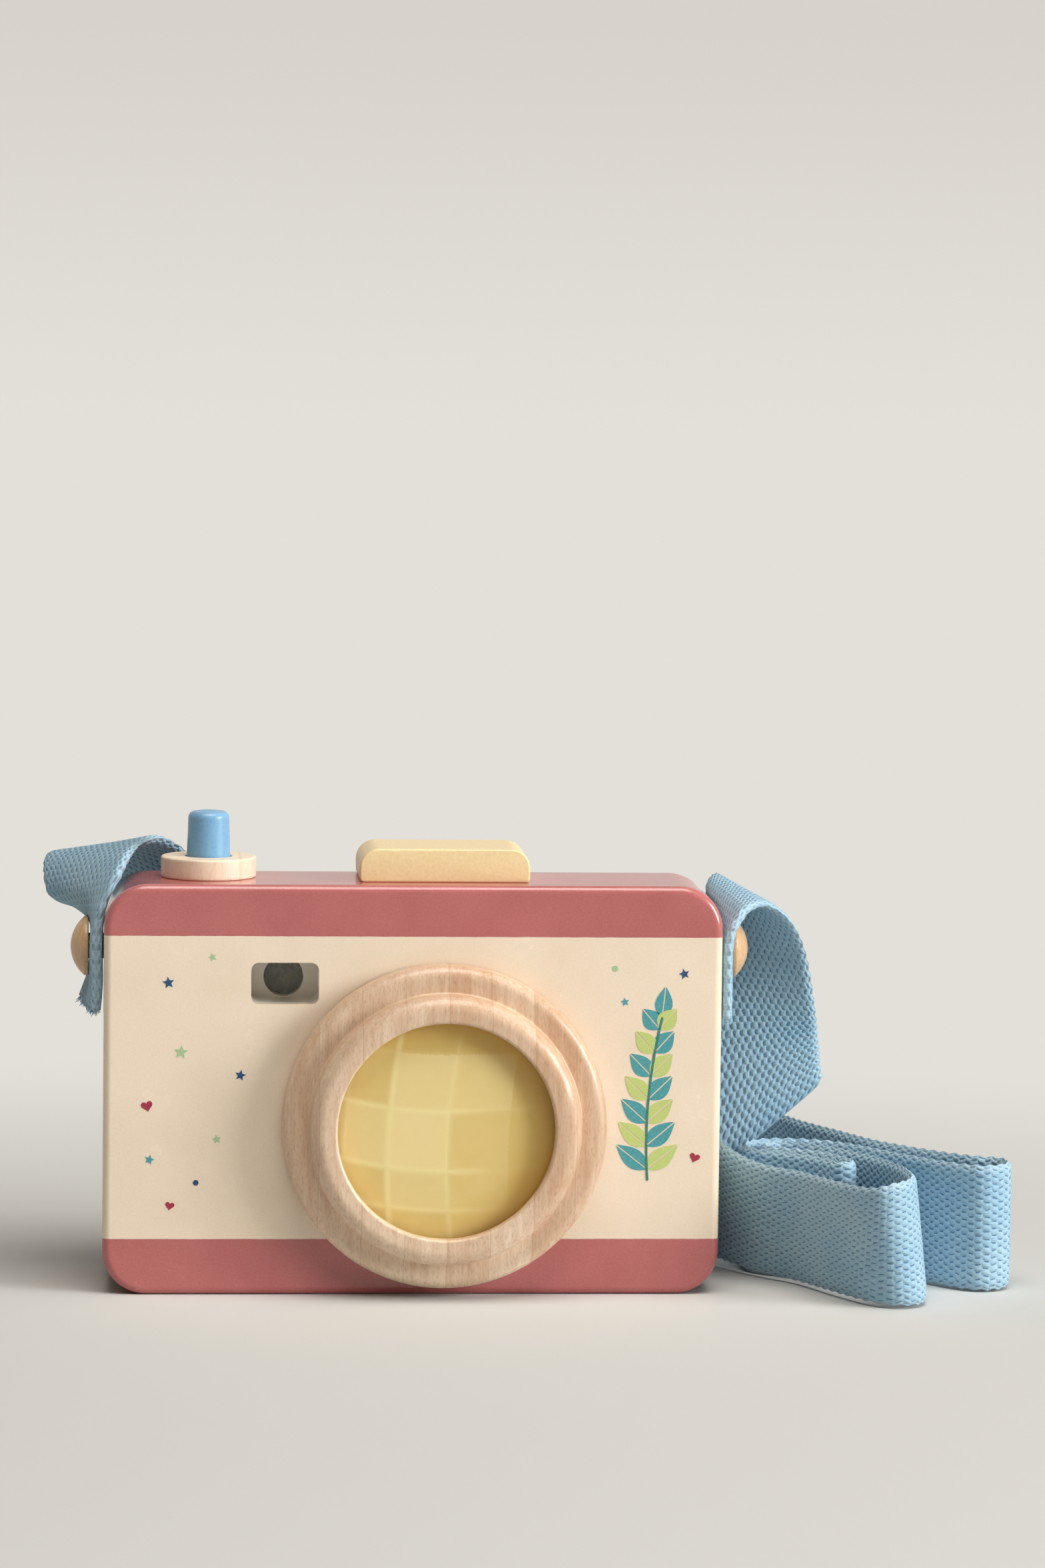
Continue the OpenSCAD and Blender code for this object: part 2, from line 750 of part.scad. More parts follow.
// Webbing: a flat section carried along the route, with a hole for each peg
module strap() {
    steps = 2;
    count = (len(route) - 1) * steps + 1;
    middles = [for (p = route) p[0]];
    lays = [for (p = route) p[1]];
    centre = [for (n = [0:count - 1]) smooth(middles, n / steps)];
    lay = [for (n = [0:count - 1]) smooth(lays, n / steps)];
    points = [
        for (n = [0:count - 1])
            let (
                along = centre[min(n + 1, count - 1)] - centre[max(n - 1, 0)],
                across = cross(along, lay[n]),
                thick = across / norm(across) * strap_t / 2,
                half = lay[n] * strap_w / 2
            )
            each [
                centre[n] + half + thick, centre[n] - half + thick,
                centre[n] - half - thick, centre[n] + half - thick
            ]
    ];
    faces = concat(
        [for (n = [0:count - 2], k = [0:3])
            [4 * n + k, 4 * (n + 1) + (k + 1) % 4, 4 * n + (k + 1) % 4]],
        [for (n = [0:count - 2], k = [0:3])
            [4 * n + k, 4 * (n + 1) + k, 4 * (n + 1) + (k + 1) % 4]],
        [[0, 1, 2, 3]],
        [[for (k = [3:-1:0]) 4 * (count - 1) + k]]
    );
    color(webbing_blue)
        difference() {
            polyhedron(points = points, faces = faces);
            for (sx = [-1, 1])
                peg_placed(sx)
                    cylinder(h = head_gap, r = shank_r + strap_gap);
        }
}

main_body();
front_panel();
lens_ring();
faceted_lens();
lens_retainer();
ring_keeper();
viewfinder_pane();
button_collar();
shutter_button();
button_spring();
flash_block();
flash_dowel_left();
flash_dowel_right();
panel_dowel_top_left();
panel_dowel_top_right();
panel_dowel_bottom_left();
panel_dowel_bottom_right();
strap_peg_left();
strap_peg_right();
strap();
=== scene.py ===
"""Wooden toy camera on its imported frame: painted board, turned beech, a tinted lens and cotton webbing.

Lengths are in millimetres until a mesh is made, as in the part's source. +X is to the right, +Y to the
back and +Z up. Each shape is a grid of points worked out with numpy, and its formula is in its docstring.
"""

import bmesh
import bpy
import numpy as np
from mathutils import Matrix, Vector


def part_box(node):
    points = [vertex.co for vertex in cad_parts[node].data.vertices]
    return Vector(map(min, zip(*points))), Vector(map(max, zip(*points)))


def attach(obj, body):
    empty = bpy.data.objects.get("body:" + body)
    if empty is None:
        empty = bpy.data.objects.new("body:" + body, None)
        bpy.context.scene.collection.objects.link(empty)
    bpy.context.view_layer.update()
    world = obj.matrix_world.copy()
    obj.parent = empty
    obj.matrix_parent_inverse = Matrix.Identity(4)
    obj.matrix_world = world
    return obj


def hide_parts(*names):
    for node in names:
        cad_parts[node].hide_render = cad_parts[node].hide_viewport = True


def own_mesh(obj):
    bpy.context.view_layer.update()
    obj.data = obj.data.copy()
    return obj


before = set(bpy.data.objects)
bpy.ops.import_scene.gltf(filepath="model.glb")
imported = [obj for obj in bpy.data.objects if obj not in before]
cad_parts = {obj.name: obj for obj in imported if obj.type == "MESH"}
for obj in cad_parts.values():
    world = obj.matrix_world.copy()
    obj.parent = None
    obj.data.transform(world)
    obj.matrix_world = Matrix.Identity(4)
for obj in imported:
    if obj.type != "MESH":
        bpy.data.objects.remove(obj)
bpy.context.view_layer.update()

MM = 0.001
PHOTO_HEIGHT = 2352
scene = bpy.context.scene
scene.view_settings.view_transform = "Standard"


# Places on the frame


def box_mm(node):
    """Lowest corner, highest corner and middle of a CAD node, in millimetres."""
    low, high = (np.array(corner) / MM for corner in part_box(node))
    return low, high, (low + high) / 2


panel_low, _, _ = box_mm("front_panel")
body_low, body_high, _ = box_mm("main_body")
ring_low, ring_high, ring_mid = box_mm("lens_ring")
lens_low, lens_high, _ = box_mm("faceted_lens")
collar_low, collar_high, collar_mid = box_mm("button_collar")
_, button_high, _ = box_mm("shutter_button")
block_low, block_high, block_mid = box_mm("flash_block")
_, _, left_peg_mid = box_mm("strap_peg_left")

FRONT_Y = panel_low[1]
BACK_Y = body_high[1]
BODY_W = body_high[0] - body_low[0]
TOP_Z = body_high[2]
LENS_AXIS = np.array([ring_mid[0], 0, ring_mid[2]])
PEG_Y, PEG_Z = left_peg_mid[1:]


# Meshes


def grid_faces(count, rows, columns):
    """Corner numbers of the quads of several grids: n, n + 1, n + columns + 1 and n + columns a cell."""
    first = np.arange(count)[:, None, None] * rows * columns
    first = first + np.arange(rows - 1)[:, None] * columns + np.arange(columns - 1)
    return np.stack([first, first + 1, first + columns + 1, first + columns], -1).reshape(-1, 4)


def surface(name, grids, material, uv=None, values=None, sharp=35):
    """Mesh piece from grids of points, shaped (count, rows, columns, 3) in millimetres.

    Points that meet are merged, which closes seams and poles, and the faces are turned outwards. uv gives a
    flat place for each point, and values gives named numbers for each point.
    """
    count, rows, columns, _ = grids.shape
    quads = grid_faces(count, rows, columns)
    mesh = bpy.data.meshes.new(name)
    mesh.from_pydata((grids.reshape(-1, 3) * MM).tolist(), [], quads.tolist())
    if uv is not None:
        layer = mesh.uv_layers.new(name="lay")
        layer.data.foreach_set("uv", uv.reshape(-1, 2)[quads.ravel()].astype(np.float32).ravel())
    for key, numbers in (values or {}).items():
        field = mesh.attributes.new(key, "FLOAT", "POINT")
        field.data.foreach_set("value", numbers.astype(np.float32).ravel())
    work = bmesh.new()
    work.from_mesh(mesh)
    bmesh.ops.remove_doubles(work, verts=work.verts, dist=1e-7)
    bmesh.ops.dissolve_degenerate(work, edges=work.edges, dist=1e-8)
    bmesh.ops.recalc_face_normals(work, faces=work.faces)
    work.to_mesh(mesh)
    work.free()
    mesh.shade_smooth()
    mesh.set_sharp_from_angle(angle=np.radians(sharp))
    mesh.materials.append(material)
    piece = bpy.data.objects.new(name, mesh)
    scene.collection.objects.link(piece)
    return piece


def stands_for(piece, body, slot, *nodes):
    """Lets a piece ride on a body in the place of CAD nodes, which it hides."""
    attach(piece, body)
    if nodes:
        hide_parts(*nodes)
    return piece


def line(start, end, step=0.4):
    """Points from start to end, about one step apart."""
    start, end = np.array(start, float), np.array(end, float)
    count = max(2, int(np.ceil(np.linalg.norm(end - start) / step)) + 1)
    return start + (end - start) * np.linspace(0, 1, count)[:, None]


def arc(middle, radius, first, last, count):
    """Points on a circle about middle, from one angle to another in degrees."""
    angle = np.radians(np.linspace(first, last, count))
    return np.array(middle) + radius * np.stack([np.cos(angle), np.sin(angle)], -1)


def section(*stops):
    """Section through stops in turn, which lines join: a stop is a corner or the points of an arc."""
    rows = [np.array(stop, float).reshape(-1, 2) for stop in stops]
    parts = rows[:1]
    for row in rows[1:]:
        parts += [line(parts[-1][-1], row[0])[1:-1], row]
    return np.concatenate(parts)


def turned(profile, middle, axis, segments):
    """Turned form: each profile point (radius, height) goes round the axis.

    The point at angle a is middle + radius * (cos a * side + sin a * up) + height * axis.
    """
    axis = np.array(axis, float)
    side = np.array([0.0, 0, 1]) if axis[2] == 0 else np.array([1.0, 0, 0])
    up = np.cross(axis, side)
    angle = np.linspace(0, 2 * np.pi, segments + 1)
    round_it = np.cos(angle)[:, None] * side + np.sin(angle)[:, None] * up
    radius, height = profile[:, 0, None, None], profile[:, 1, None, None]
    grid = np.array(middle) + radius * round_it + height * axis
    grid[:, -1] = grid[:, 0]
    return grid[None]


# Materials

# Sizes of the patterns' patches. The peel, the pores, the wire's lines and the ink's mesh are finer on a real
# toy, and are drawn as coarse as they need to be to show.
WAVER_L = 2.5
CLOUD_L = 11
SPECK_L = 0.45
PEEL_L = 0.8
PORE_L = 0.6
TWIST_L = 0.5
HAZE_L = 3
DUST_L = 0.9
DRAWN_L = 0.3
MESH_L = 0.35


def srgb(hex_colour):
    """Linear colour of an sRGB hex value: c / 12.92 near black, ((c + 0.055) / 1.055) ** 2.4 above."""
    c = np.array([int(hex_colour[i : i + 2], 16) for i in (1, 3, 5)]) / 255
    c = np.where(c <= 0.04045, c / 12.92, ((c + 0.055) / 1.055) ** 2.4)
    return (*c.tolist(), 1.0)


def add(tree, kind, inputs=None, **settings):
    """Adds a node. settings are its properties; inputs gives a socket a value or the output that feeds it."""
    made = tree.nodes.new(kind)
    for key, value in settings.items():
        setattr(made, key, value)
    for key, value in (inputs or {}).items():
        if isinstance(value, bpy.types.NodeSocket):
            tree.links.new(value, made.inputs[key])
        else:
            made.inputs[key].default_value = value
    return made


def cleared(owner):
    """Node tree of a material or world, with nothing in it."""
    owner.use_nodes = True
    owner.node_tree.nodes.clear()
    return owner.node_tree


def new_finish(name, **numbers):
    """A material with one Principled shader, whose even numbers are set on its own sockets."""
    material = bpy.data.materials.new(name)
    tree = cleared(material)
    shader = add(tree, "ShaderNodeBsdfPrincipled", {k.replace("_", " "): v for k, v in numbers.items()})
    add(tree, "ShaderNodeOutputMaterial", {"Surface": shader.outputs[0]})
    return material, tree, shader


def satin_paint_on_board():
    """Satin acrylic paint sprayed on sanded board and masked in bands: even, soft in its shine, with a fine
    orange peel and the faintest cloud in its colour. The masked edges waver by a twentieth of a millimetre.
    The spray doesn't reach into the holes, so pale primer shows from 1.3 mm inside the body's sides."""
    material, tree, shader = new_finish(
        "satin_acrylic_on_board", IOR=1.5, Coat_Weight=0.5, Coat_Roughness=0.14
    )
    at = add(tree, "ShaderNodeTexCoord").outputs["Object"]
    height = add(tree, "ShaderNodeSeparateXYZ", {0: at}).outputs["Z"]
    waver = add(tree, "ShaderNodeTexNoise", {"Vector": at, "Scale": 1 / (WAVER_L * MM), "Detail": 2.0})
    masked = add(
        tree, "ShaderNodeMath", {0: waver.outputs[0], 1: MASK_WAVER * MM, 2: height}, operation="MULTIPLY_ADD"
    ).outputs[0]
    upper = add(
        tree, "ShaderNodeMapRange", {0: masked, 1: UPPER_BAND * MM, 2: (UPPER_BAND + MASK_BLUR) * MM}
    ).outputs[0]
    lower = add(
        tree, "ShaderNodeMapRange", {0: masked, 1: (LOWER_BAND + MASK_BLUR) * MM, 2: LOWER_BAND * MM}
    ).outputs[0]
    banded = add(tree, "ShaderNodeMath", {0: upper, 1: lower}, operation="MAXIMUM").outputs[0]
    cloud = add(tree, "ShaderNodeTexNoise", {"Vector": at, "Scale": 1 / (CLOUD_L * MM), "Detail": 5.0})
    speck = add(tree, "ShaderNodeTexNoise", {"Vector": at, "Scale": 1 / (SPECK_L * MM), "Detail": 2.0})
    tone = add(
        tree, "ShaderNodeMix", {0: 0.45, 2: cloud.outputs[0], 3: speck.outputs[0]}, data_type="FLOAT"
    ).outputs[0]
    spread = add(tree, "ShaderNodeMapRange", {0: tone, 1: 0.34, 2: 0.66}).outputs[0]
    cream = add(
        tree, "ShaderNodeMix", {0: spread, 6: srgb("#ECDBC2"), 7: srgb("#F4E4CE")}, data_type="RGBA"
    ).outputs[2]
    red = add(
        tree, "ShaderNodeMix", {0: spread, 6: srgb("#B15E5D"), 7: srgb("#BE6C6A")}, data_type="RGBA"
    ).outputs[2]
    colour = add(tree, "ShaderNodeMix", {0: banded, 6: cream, 7: red}, data_type="RGBA").outputs[2]
    half = (BODY_W / 2 * MM, (BACK_Y - FRONT_Y) / 2 * MM, TOP_Z / 2 * MM)
    middle = (0, (BACK_Y + FRONT_Y) / 2 * MM, TOP_Z / 2 * MM)
    centred = add(tree, "ShaderNodeVectorMath", {0: at, 1: middle}, operation="SUBTRACT").outputs[0]
    apart = add(tree, "ShaderNodeVectorMath", {0: centred}, operation="ABSOLUTE").outputs[0]
    inside = add(tree, "ShaderNodeVectorMath", {0: half, 1: apart}, operation="SUBTRACT").outputs[0]
    depth = add(tree, "ShaderNodeSeparateXYZ", {0: inside}).outputs
    shallow = add(tree, "ShaderNodeMath", {0: depth[0], 1: depth[1]}, operation="MINIMUM").outputs[0]
    deep = add(tree, "ShaderNodeMath", {0: shallow, 1: depth[2]}, operation="MINIMUM").outputs[0]
    bare = add(tree, "ShaderNodeMapRange", {0: deep, 1: PRIMER_FROM * MM, 2: PRIMER_FULL * MM}).outputs[0]
    coated = add(tree, "ShaderNodeMix", {0: bare, 6: colour, 7: srgb("#F0EBE1")}, data_type="RGBA").outputs[2]
    tree.links.new(coated, shader.inputs["Base Color"])
    shine = add(tree, "ShaderNodeMapRange", {0: cloud.outputs[0], 1: 0.3, 2: 0.7, 3: 0.2, 4: 0.28})
    tree.links.new(shine.outputs[0], shader.inputs["Roughness"])
    peel = add(tree, "ShaderNodeTexNoise", {"Vector": at, "Scale": 1 / (PEEL_L * MM), "Detail": 2.0})
    relief = add(
        tree, "ShaderNodeBump", {"Height": peel.outputs[0], "Strength": 0.3, "Distance": 0.025 * MM}
    )
    tree.links.new(relief.outputs[0], shader.inputs["Normal"])
    return material


def beech(name, pale, mid, dark, stave, drift, coat):
    """Beech or birch, turned and sanded, under a thin clear coat where it has one: fine upright fibre, faint
    short ray flecks a third of a millimetre wide, and where the blank was glued from staves, a slight change
    of tone at each joint. The drift says how much darker the colour gets from the ring's bottom to its top."""
    material, tree, shader = new_finish(name, IOR=1.5, Coat_Weight=coat, Coat_Roughness=0.2)
    at = add(tree, "ShaderNodeTexCoord").outputs["Object"]
    place = add(tree, "ShaderNodeSeparateXYZ", {0: at}).outputs
    aside = add(tree, "ShaderNodeMath", {0: place["X"], 1: STAVE_JOINT * MM}, operation="SUBTRACT").outputs[0]
    count = add(tree, "ShaderNodeMath", {0: aside, 1: 1 / (stave * MM)}, operation="MULTIPLY").outputs[0]
    number = add(tree, "ShaderNodeMath", {0: count}, operation="FLOOR").outputs[0]
    stave_tone = add(tree, "ShaderNodeTexWhiteNoise", {"W": number}, noise_dimensions="1D").outputs[0]
    beside = add(tree, "ShaderNodeMath", {0: count, 1: 0.5}, operation="PINGPONG").outputs[0]
    joint = add(tree, "ShaderNodeMapRange", {0: beside, 1: 0.012, 2: 0.003}).outputs[0]
    long = add(tree, "ShaderNodeMapping", {"Vector": at, "Scale": (1 / MM, 1 / MM, 0.07 / MM)}).outputs[0]
    fibre = add(
        tree, "ShaderNodeTexNoise", {"Vector": long, "Scale": 0.8, "Detail": 7.0, "Roughness": 0.68}
    ).outputs[0]
    short = add(tree, "ShaderNodeMapping", {"Vector": at, "Scale": (3 / MM, 3 / MM, 0.8 / MM)}).outputs[0]
    ray = add(tree, "ShaderNodeTexNoise", {"Vector": short, "Scale": 1.0, "Detail": 2.0}).outputs[0]
    fleck = add(tree, "ShaderNodeMapRange", {0: ray, 1: 0.5, 2: 0.72}).outputs[0]
    streaks = add(tree, "ShaderNodeMapRange", {0: fibre, 1: 0.3, 2: 0.72}).outputs[0]
    toned = add(
        tree, "ShaderNodeMath", {0: stave_tone, 1: 0.7, 2: streaks}, operation="MULTIPLY_ADD"
    ).outputs[0]
    deeper = add(
        tree, "ShaderNodeMapRange", {0: place["Z"], 1: ring_low[2] * MM, 2: ring_high[2] * MM, 4: drift}
    ).outputs[0]
    summed = add(tree, "ShaderNodeMath", {0: toned, 1: deeper}).outputs[0]
    depth = add(tree, "ShaderNodeMapRange", {0: summed, 1: 0.2, 2: 1.6}).outputs[0]
    wood = add(tree, "ShaderNodeMix", {0: depth, 6: srgb(pale), 7: srgb(mid)}, data_type="RGBA").outputs[2]
    marks = add(tree, "ShaderNodeMath", {0: fleck, 1: 0.32}, operation="MULTIPLY").outputs[0]
    lined = add(tree, "ShaderNodeMath", {0: joint, 1: 0.4}, operation="MULTIPLY").outputs[0]
    darker = add(tree, "ShaderNodeMath", {0: marks, 1: lined}, operation="MAXIMUM").outputs[0]
    colour = add(tree, "ShaderNodeMix", {0: darker, 6: wood, 7: srgb(dark)}, data_type="RGBA").outputs[2]
    tree.links.new(colour, shader.inputs["Base Color"])
    shine = add(tree, "ShaderNodeMapRange", {0: fibre, 1: 0.3, 2: 0.7, 3: 0.36, 4: 0.5}).outputs[0]
    tree.links.new(shine, shader.inputs["Roughness"])
    relief = add(tree, "ShaderNodeBump", {"Height": fibre, "Strength": 0.25, "Distance": 0.04 * MM})
    tree.links.new(relief.outputs[0], shader.inputs["Normal"])
    return material


def paint_on_turning(name, light, deep, rough):
    """Satin acrylic sprayed on a small turned or sawn piece: even, with a fine grain of the wood's pores
    under it and a soft shine."""
    material, tree, shader = new_finish(name, IOR=1.5)
    at = add(tree, "ShaderNodeTexCoord").outputs["Object"]
    pores = add(
        tree,
        "ShaderNodeTexNoise",
        {"Vector": at, "Scale": 1 / (PORE_L * MM), "Detail": 4.0, "Roughness": 0.6},
    ).outputs[0]
    tone = add(tree, "ShaderNodeMapRange", {0: pores, 1: 0.32, 2: 0.68}).outputs[0]
    colour = add(tree, "ShaderNodeMix", {0: tone, 6: srgb(light), 7: srgb(deep)}, data_type="RGBA").outputs[2]
    tree.links.new(colour, shader.inputs["Base Color"])
    shine = add(tree, "ShaderNodeMapRange", {0: pores, 1: 0.3, 2: 0.7, 3: rough - 0.05, 4: rough + 0.06})
    tree.links.new(shine.outputs[0], shader.inputs["Roughness"])
    relief = add(tree, "ShaderNodeBump", {"Height": pores, "Strength": 0.35, "Distance": 0.04 * MM})
    tree.links.new(relief.outputs[0], shader.inputs["Normal"])
    return material


def cotton_webbing():
    """Cotton webbing from a narrow loom: plump yarns in columns 1.35 mm apart along the strap, with a short
    hollow every 1.47 mm across, moved on by half in every second column, darkened in colour as painted shade.
    Both selvedges are paler, and loose fibre gives a soft bloom at a slant.

    In a column, the place from its ends and the place from a hollow's line are triangle waves from 0 to 0.5.
    """
    material, tree, shader = new_finish(
        "cotton_webbing", Roughness=0.9, Specular_IOR_Level=0.2, Sheen_Weight=0.3, Sheen_Roughness=0.45
    )
    shader.inputs["Sheen Tint"].default_value = srgb("#DCEBF4")
    lay = add(tree, "ShaderNodeUVMap", uv_map="lay").outputs[0]
    uneven = add(tree, "ShaderNodeTexNoise", {"Vector": lay, "Scale": 0.8, "Detail": 2.0}).outputs[1]
    off = add(tree, "ShaderNodeVectorMath", {0: uneven, 1: (0.5, 0.5, 0.5)}, operation="SUBTRACT").outputs[0]
    nudge = add(tree, "ShaderNodeVectorMath", {0: off, "Scale": 0.7}, operation="SCALE").outputs[0]
    pulled = add(tree, "ShaderNodeVectorMath", {0: lay, 1: nudge}).outputs[0]
    place = add(tree, "ShaderNodeSeparateXYZ", {0: pulled}).outputs
    count = add(tree, "ShaderNodeMath", {0: place["X"], 1: 1 / COLUMN}, operation="MULTIPLY").outputs[0]
    column = add(tree, "ShaderNodeMath", {0: count}, operation="FLOOR").outputs[0]
    second = add(tree, "ShaderNodeMath", {0: column, 1: 1.0}, operation="PINGPONG").outputs[0]
    moved = add(tree, "ShaderNodeMath", {0: second, 1: 0.5}, operation="MULTIPLY").outputs[0]
    rows = add(
        tree, "ShaderNodeMath", {0: place["Y"], 1: 1 / HOLLOW, 2: moved}, operation="MULTIPLY_ADD"
    ).outputs[0]
    from_end = add(tree, "ShaderNodeMath", {0: count, 1: 0.5}, operation="PINGPONG").outputs[0]
    from_hollow = add(tree, "ShaderNodeMath", {0: rows, 1: 0.5}, operation="PINGPONG").outputs[0]
    length = add(
        tree, "ShaderNodeMapRange", {0: from_end, 1: 0.08, 2: 0.28}, interpolation_type="SMOOTHSTEP"
    ).outputs[0]
    width = add(
        tree, "ShaderNodeMapRange", {0: from_hollow, 1: 0.16, 2: 0.04}, interpolation_type="SMOOTHSTEP"
    ).outputs[0]
    hollow = add(tree, "ShaderNodeMath", {0: length, 1: width}, operation="MULTIPLY").outputs[0]
    spun = add(tree, "ShaderNodeMapping", {"Vector": lay, "Scale": (1.1, 3.6, 1)}).outputs[0]
    thread = add(tree, "ShaderNodeTexNoise", {"Vector": spun, "Scale": 1.0, "Detail": 4.0}).outputs[0]
    worn = add(tree, "ShaderNodeTexNoise", {"Vector": lay, "Scale": 0.07, "Detail": 3.0}).outputs[0]
    fade = add(tree, "ShaderNodeMix", {0: 0.4, 2: thread, 3: worn}, data_type="FLOAT").outputs[0]
    tone = add(tree, "ShaderNodeMapRange", {0: fade, 1: 0.34, 2: 0.64}).outputs[0]
    yarn = add(
        tree, "ShaderNodeMix", {0: tone, 6: srgb("#88B5D0"), 7: srgb("#AECDDD")}, data_type="RGBA"
    ).outputs[2]
    across = add(tree, "ShaderNodeSeparateXYZ", {0: lay}).outputs["Y"]
    side = add(tree, "ShaderNodeMath", {0: across}, operation="ABSOLUTE").outputs[0]
    edge = STRAP_W / 2
    selvedge = add(
        tree, "ShaderNodeMapRange", {0: side, 1: edge - SELVEDGE_FROM, 2: edge - SELVEDGE_FULL, 4: 0.3}
    ).outputs[0]
    edged = add(
        tree, "ShaderNodeMix", {0: selvedge, 6: yarn, 7: srgb("#C3DCEA")}, data_type="RGBA"
    ).outputs[2]
    # Painted shade in the weave's hollows, stronger on the open face than at the edges
    open_face = add(
        tree, "ShaderNodeMapRange", {0: side, 1: edge, 2: edge - CLOSED_W, 3: 0.4, 4: 0.75}
    ).outputs[0]
    deep = add(tree, "ShaderNodeMath", {0: hollow, 1: open_face}, operation="MULTIPLY").outputs[0]
    # The dark hollow colour is painted shade.
    colour = add(tree, "ShaderNodeMix", {0: deep, 6: edged, 7: srgb("#2F628C")}, data_type="RGBA").outputs[2]
    tree.links.new(colour, shader.inputs["Base Color"])
    plump = add(
        tree, "ShaderNodeMapRange", {0: from_hollow, 1: 0.0, 2: 0.42}, interpolation_type="SMOOTHSTEP"
    ).outputs[0]
    crown = add(tree, "ShaderNodeMapRange", {0: from_end, 1: 0.0, 2: 0.3, 3: 0.55}).outputs[0]
    raised = add(tree, "ShaderNodeMath", {0: plump, 1: crown}, operation="MULTIPLY").outputs[0]
    fuzzy = add(tree, "ShaderNodeMath", {0: thread, 1: 0.45, 2: raised}, operation="MULTIPLY_ADD").outputs[0]
    relief = add(tree, "ShaderNodeBump", {"Height": fuzzy, "Strength": 0.7, "Distance": 0.32 * MM})
    tree.links.new(relief.outputs[0], shader.inputs["Normal"])
    return material


def yarn_ends():
    """Loose ends of the webbing's yarn: the same cotton, a little paler where the twist has opened."""
    material, tree, shader = new_finish(
        "cotton_yarn_ends", Roughness=0.95, Specular_IOR_Level=0.15, Sheen_Weight=0.4
    )
    at = add(tree, "ShaderNodeTexCoord").outputs["Object"]
    twist = add(
        tree, "ShaderNodeTexNoise", {"Vector": at, "Scale": 1 / (TWIST_L * MM), "Detail": 2.0}
    ).outputs[0]
    colour = add(
        tree, "ShaderNodeMix", {0: twist, 6: srgb("#7DACCB"), 7: srgb("#B9D6E6")}, data_type="RGBA"
    ).outputs[2]
    tree.links.new(colour, shader.inputs["Base Color"])
    return material


def tinted_acrylic():
    """Cast acrylic tinted yellow, cut in flat squares: each square takes its own tone of yellow, with a
    painted pool of light on the middle ones, the bevels between them get pale lines of painted highlight, and
    the rim goes a darker gold as painted shade, most to the right and top."""
    material, tree, shader = new_finish("tinted_cast_acrylic", Roughness=0.6, Specular_IOR_Level=0.0)
    tone, bevel_highlight, rim = (
        add(tree, "ShaderNodeAttribute", attribute_name=key).outputs["Fac"]
        for key in ("square_tone_and_light", "bevel_highlight", "rim")
    )
    at = add(tree, "ShaderNodeTexCoord").outputs["Object"]
    haze = add(
        tree, "ShaderNodeTexNoise", {"Vector": at, "Scale": 1 / (HAZE_L * MM), "Detail": 4.0}
    ).outputs[0]
    hazed = add(tree, "ShaderNodeMath", {0: haze, 1: 0.3, 2: tone}, operation="MULTIPLY_ADD").outputs[0]
    shade = add(tree, "ShaderNodeMapRange", {0: hazed, 1: 0.15, 2: 1.15}).outputs[0]
    square = add(
        tree, "ShaderNodeMix", {0: shade, 6: srgb("#E3CD8C"), 7: srgb("#F8EBC4")}, data_type="RGBA"
    ).outputs[2]
    # The pale bevel lines are a painted highlight.
    lined = add(tree, "ShaderNodeMix", {0: bevel_highlight, 6: square, 7: srgb("#FDF6D0")}, data_type="RGBA").outputs[2]
    # The rim's darker gold is painted shade.
    colour = add(tree, "ShaderNodeMix", {0: rim, 6: lined, 7: srgb("#D6AB42")}, data_type="RGBA").outputs[2]
    tree.links.new(colour, shader.inputs["Base Color"])
    return material


def clear_face():
    """Polished face of the acrylic: it shows what is behind it and mirrors a little, more at a slant. The
    mirrored share is 0.02 + 0.9 * s^5, where s goes from 0 head on to 1 along the face."""
    material = bpy.data.materials.new("polished_clear_face")
    tree = cleared(material)
    through = add(tree, "ShaderNodeBsdfTransparent", {"Color": srgb("#FFFDF4")})
    mirror = add(tree, "ShaderNodeBsdfGlossy", {"Color": srgb("#FFFFFF"), "Roughness": 0.06})
    slant = add(tree, "ShaderNodeLayerWeight", {"Blend": 0.5}).outputs["Facing"]
    steep = add(tree, "ShaderNodeMath", {0: slant, 1: 5.0}, operation="POWER").outputs[0]
    share = add(tree, "ShaderNodeMapRange", {0: steep, 3: 0.02, 4: 0.92}).outputs[0]
    face = add(tree, "ShaderNodeMixShader", {0: share, 1: through.outputs[0], 2: mirror.outputs[0]})
    add(tree, "ShaderNodeOutputMaterial", {"Surface": face.outputs[0]})
    return material


def smoked_acrylic():
    """Smoked acrylic, polished: dark grey, with a film of fine dust that pales it unevenly."""
    material, tree, shader = new_finish("smoked_acrylic", IOR=1.49)
    at = add(tree, "ShaderNodeTexCoord").outputs["Object"]
    dust = add(
        tree, "ShaderNodeTexNoise", {"Vector": at, "Scale": 1 / (DUST_L * MM), "Detail": 5.0}
    ).outputs[0]
    film = add(tree, "ShaderNodeMapRange", {0: dust, 1: 0.35, 2: 0.75}).outputs[0]
    colour = add(
        tree, "ShaderNodeMix", {0: film, 6: srgb("#72766F"), 7: srgb("#8B8E86")}, data_type="RGBA"
    ).outputs[2]
    tree.links.new(colour, shader.inputs["Base Color"])
    shine = add(tree, "ShaderNodeMapRange", {0: dust, 1: 0.3, 2: 0.7, 3: 0.18, 4: 0.36}).outputs[0]
    tree.links.new(shine, shader.inputs["Roughness"])
    return material


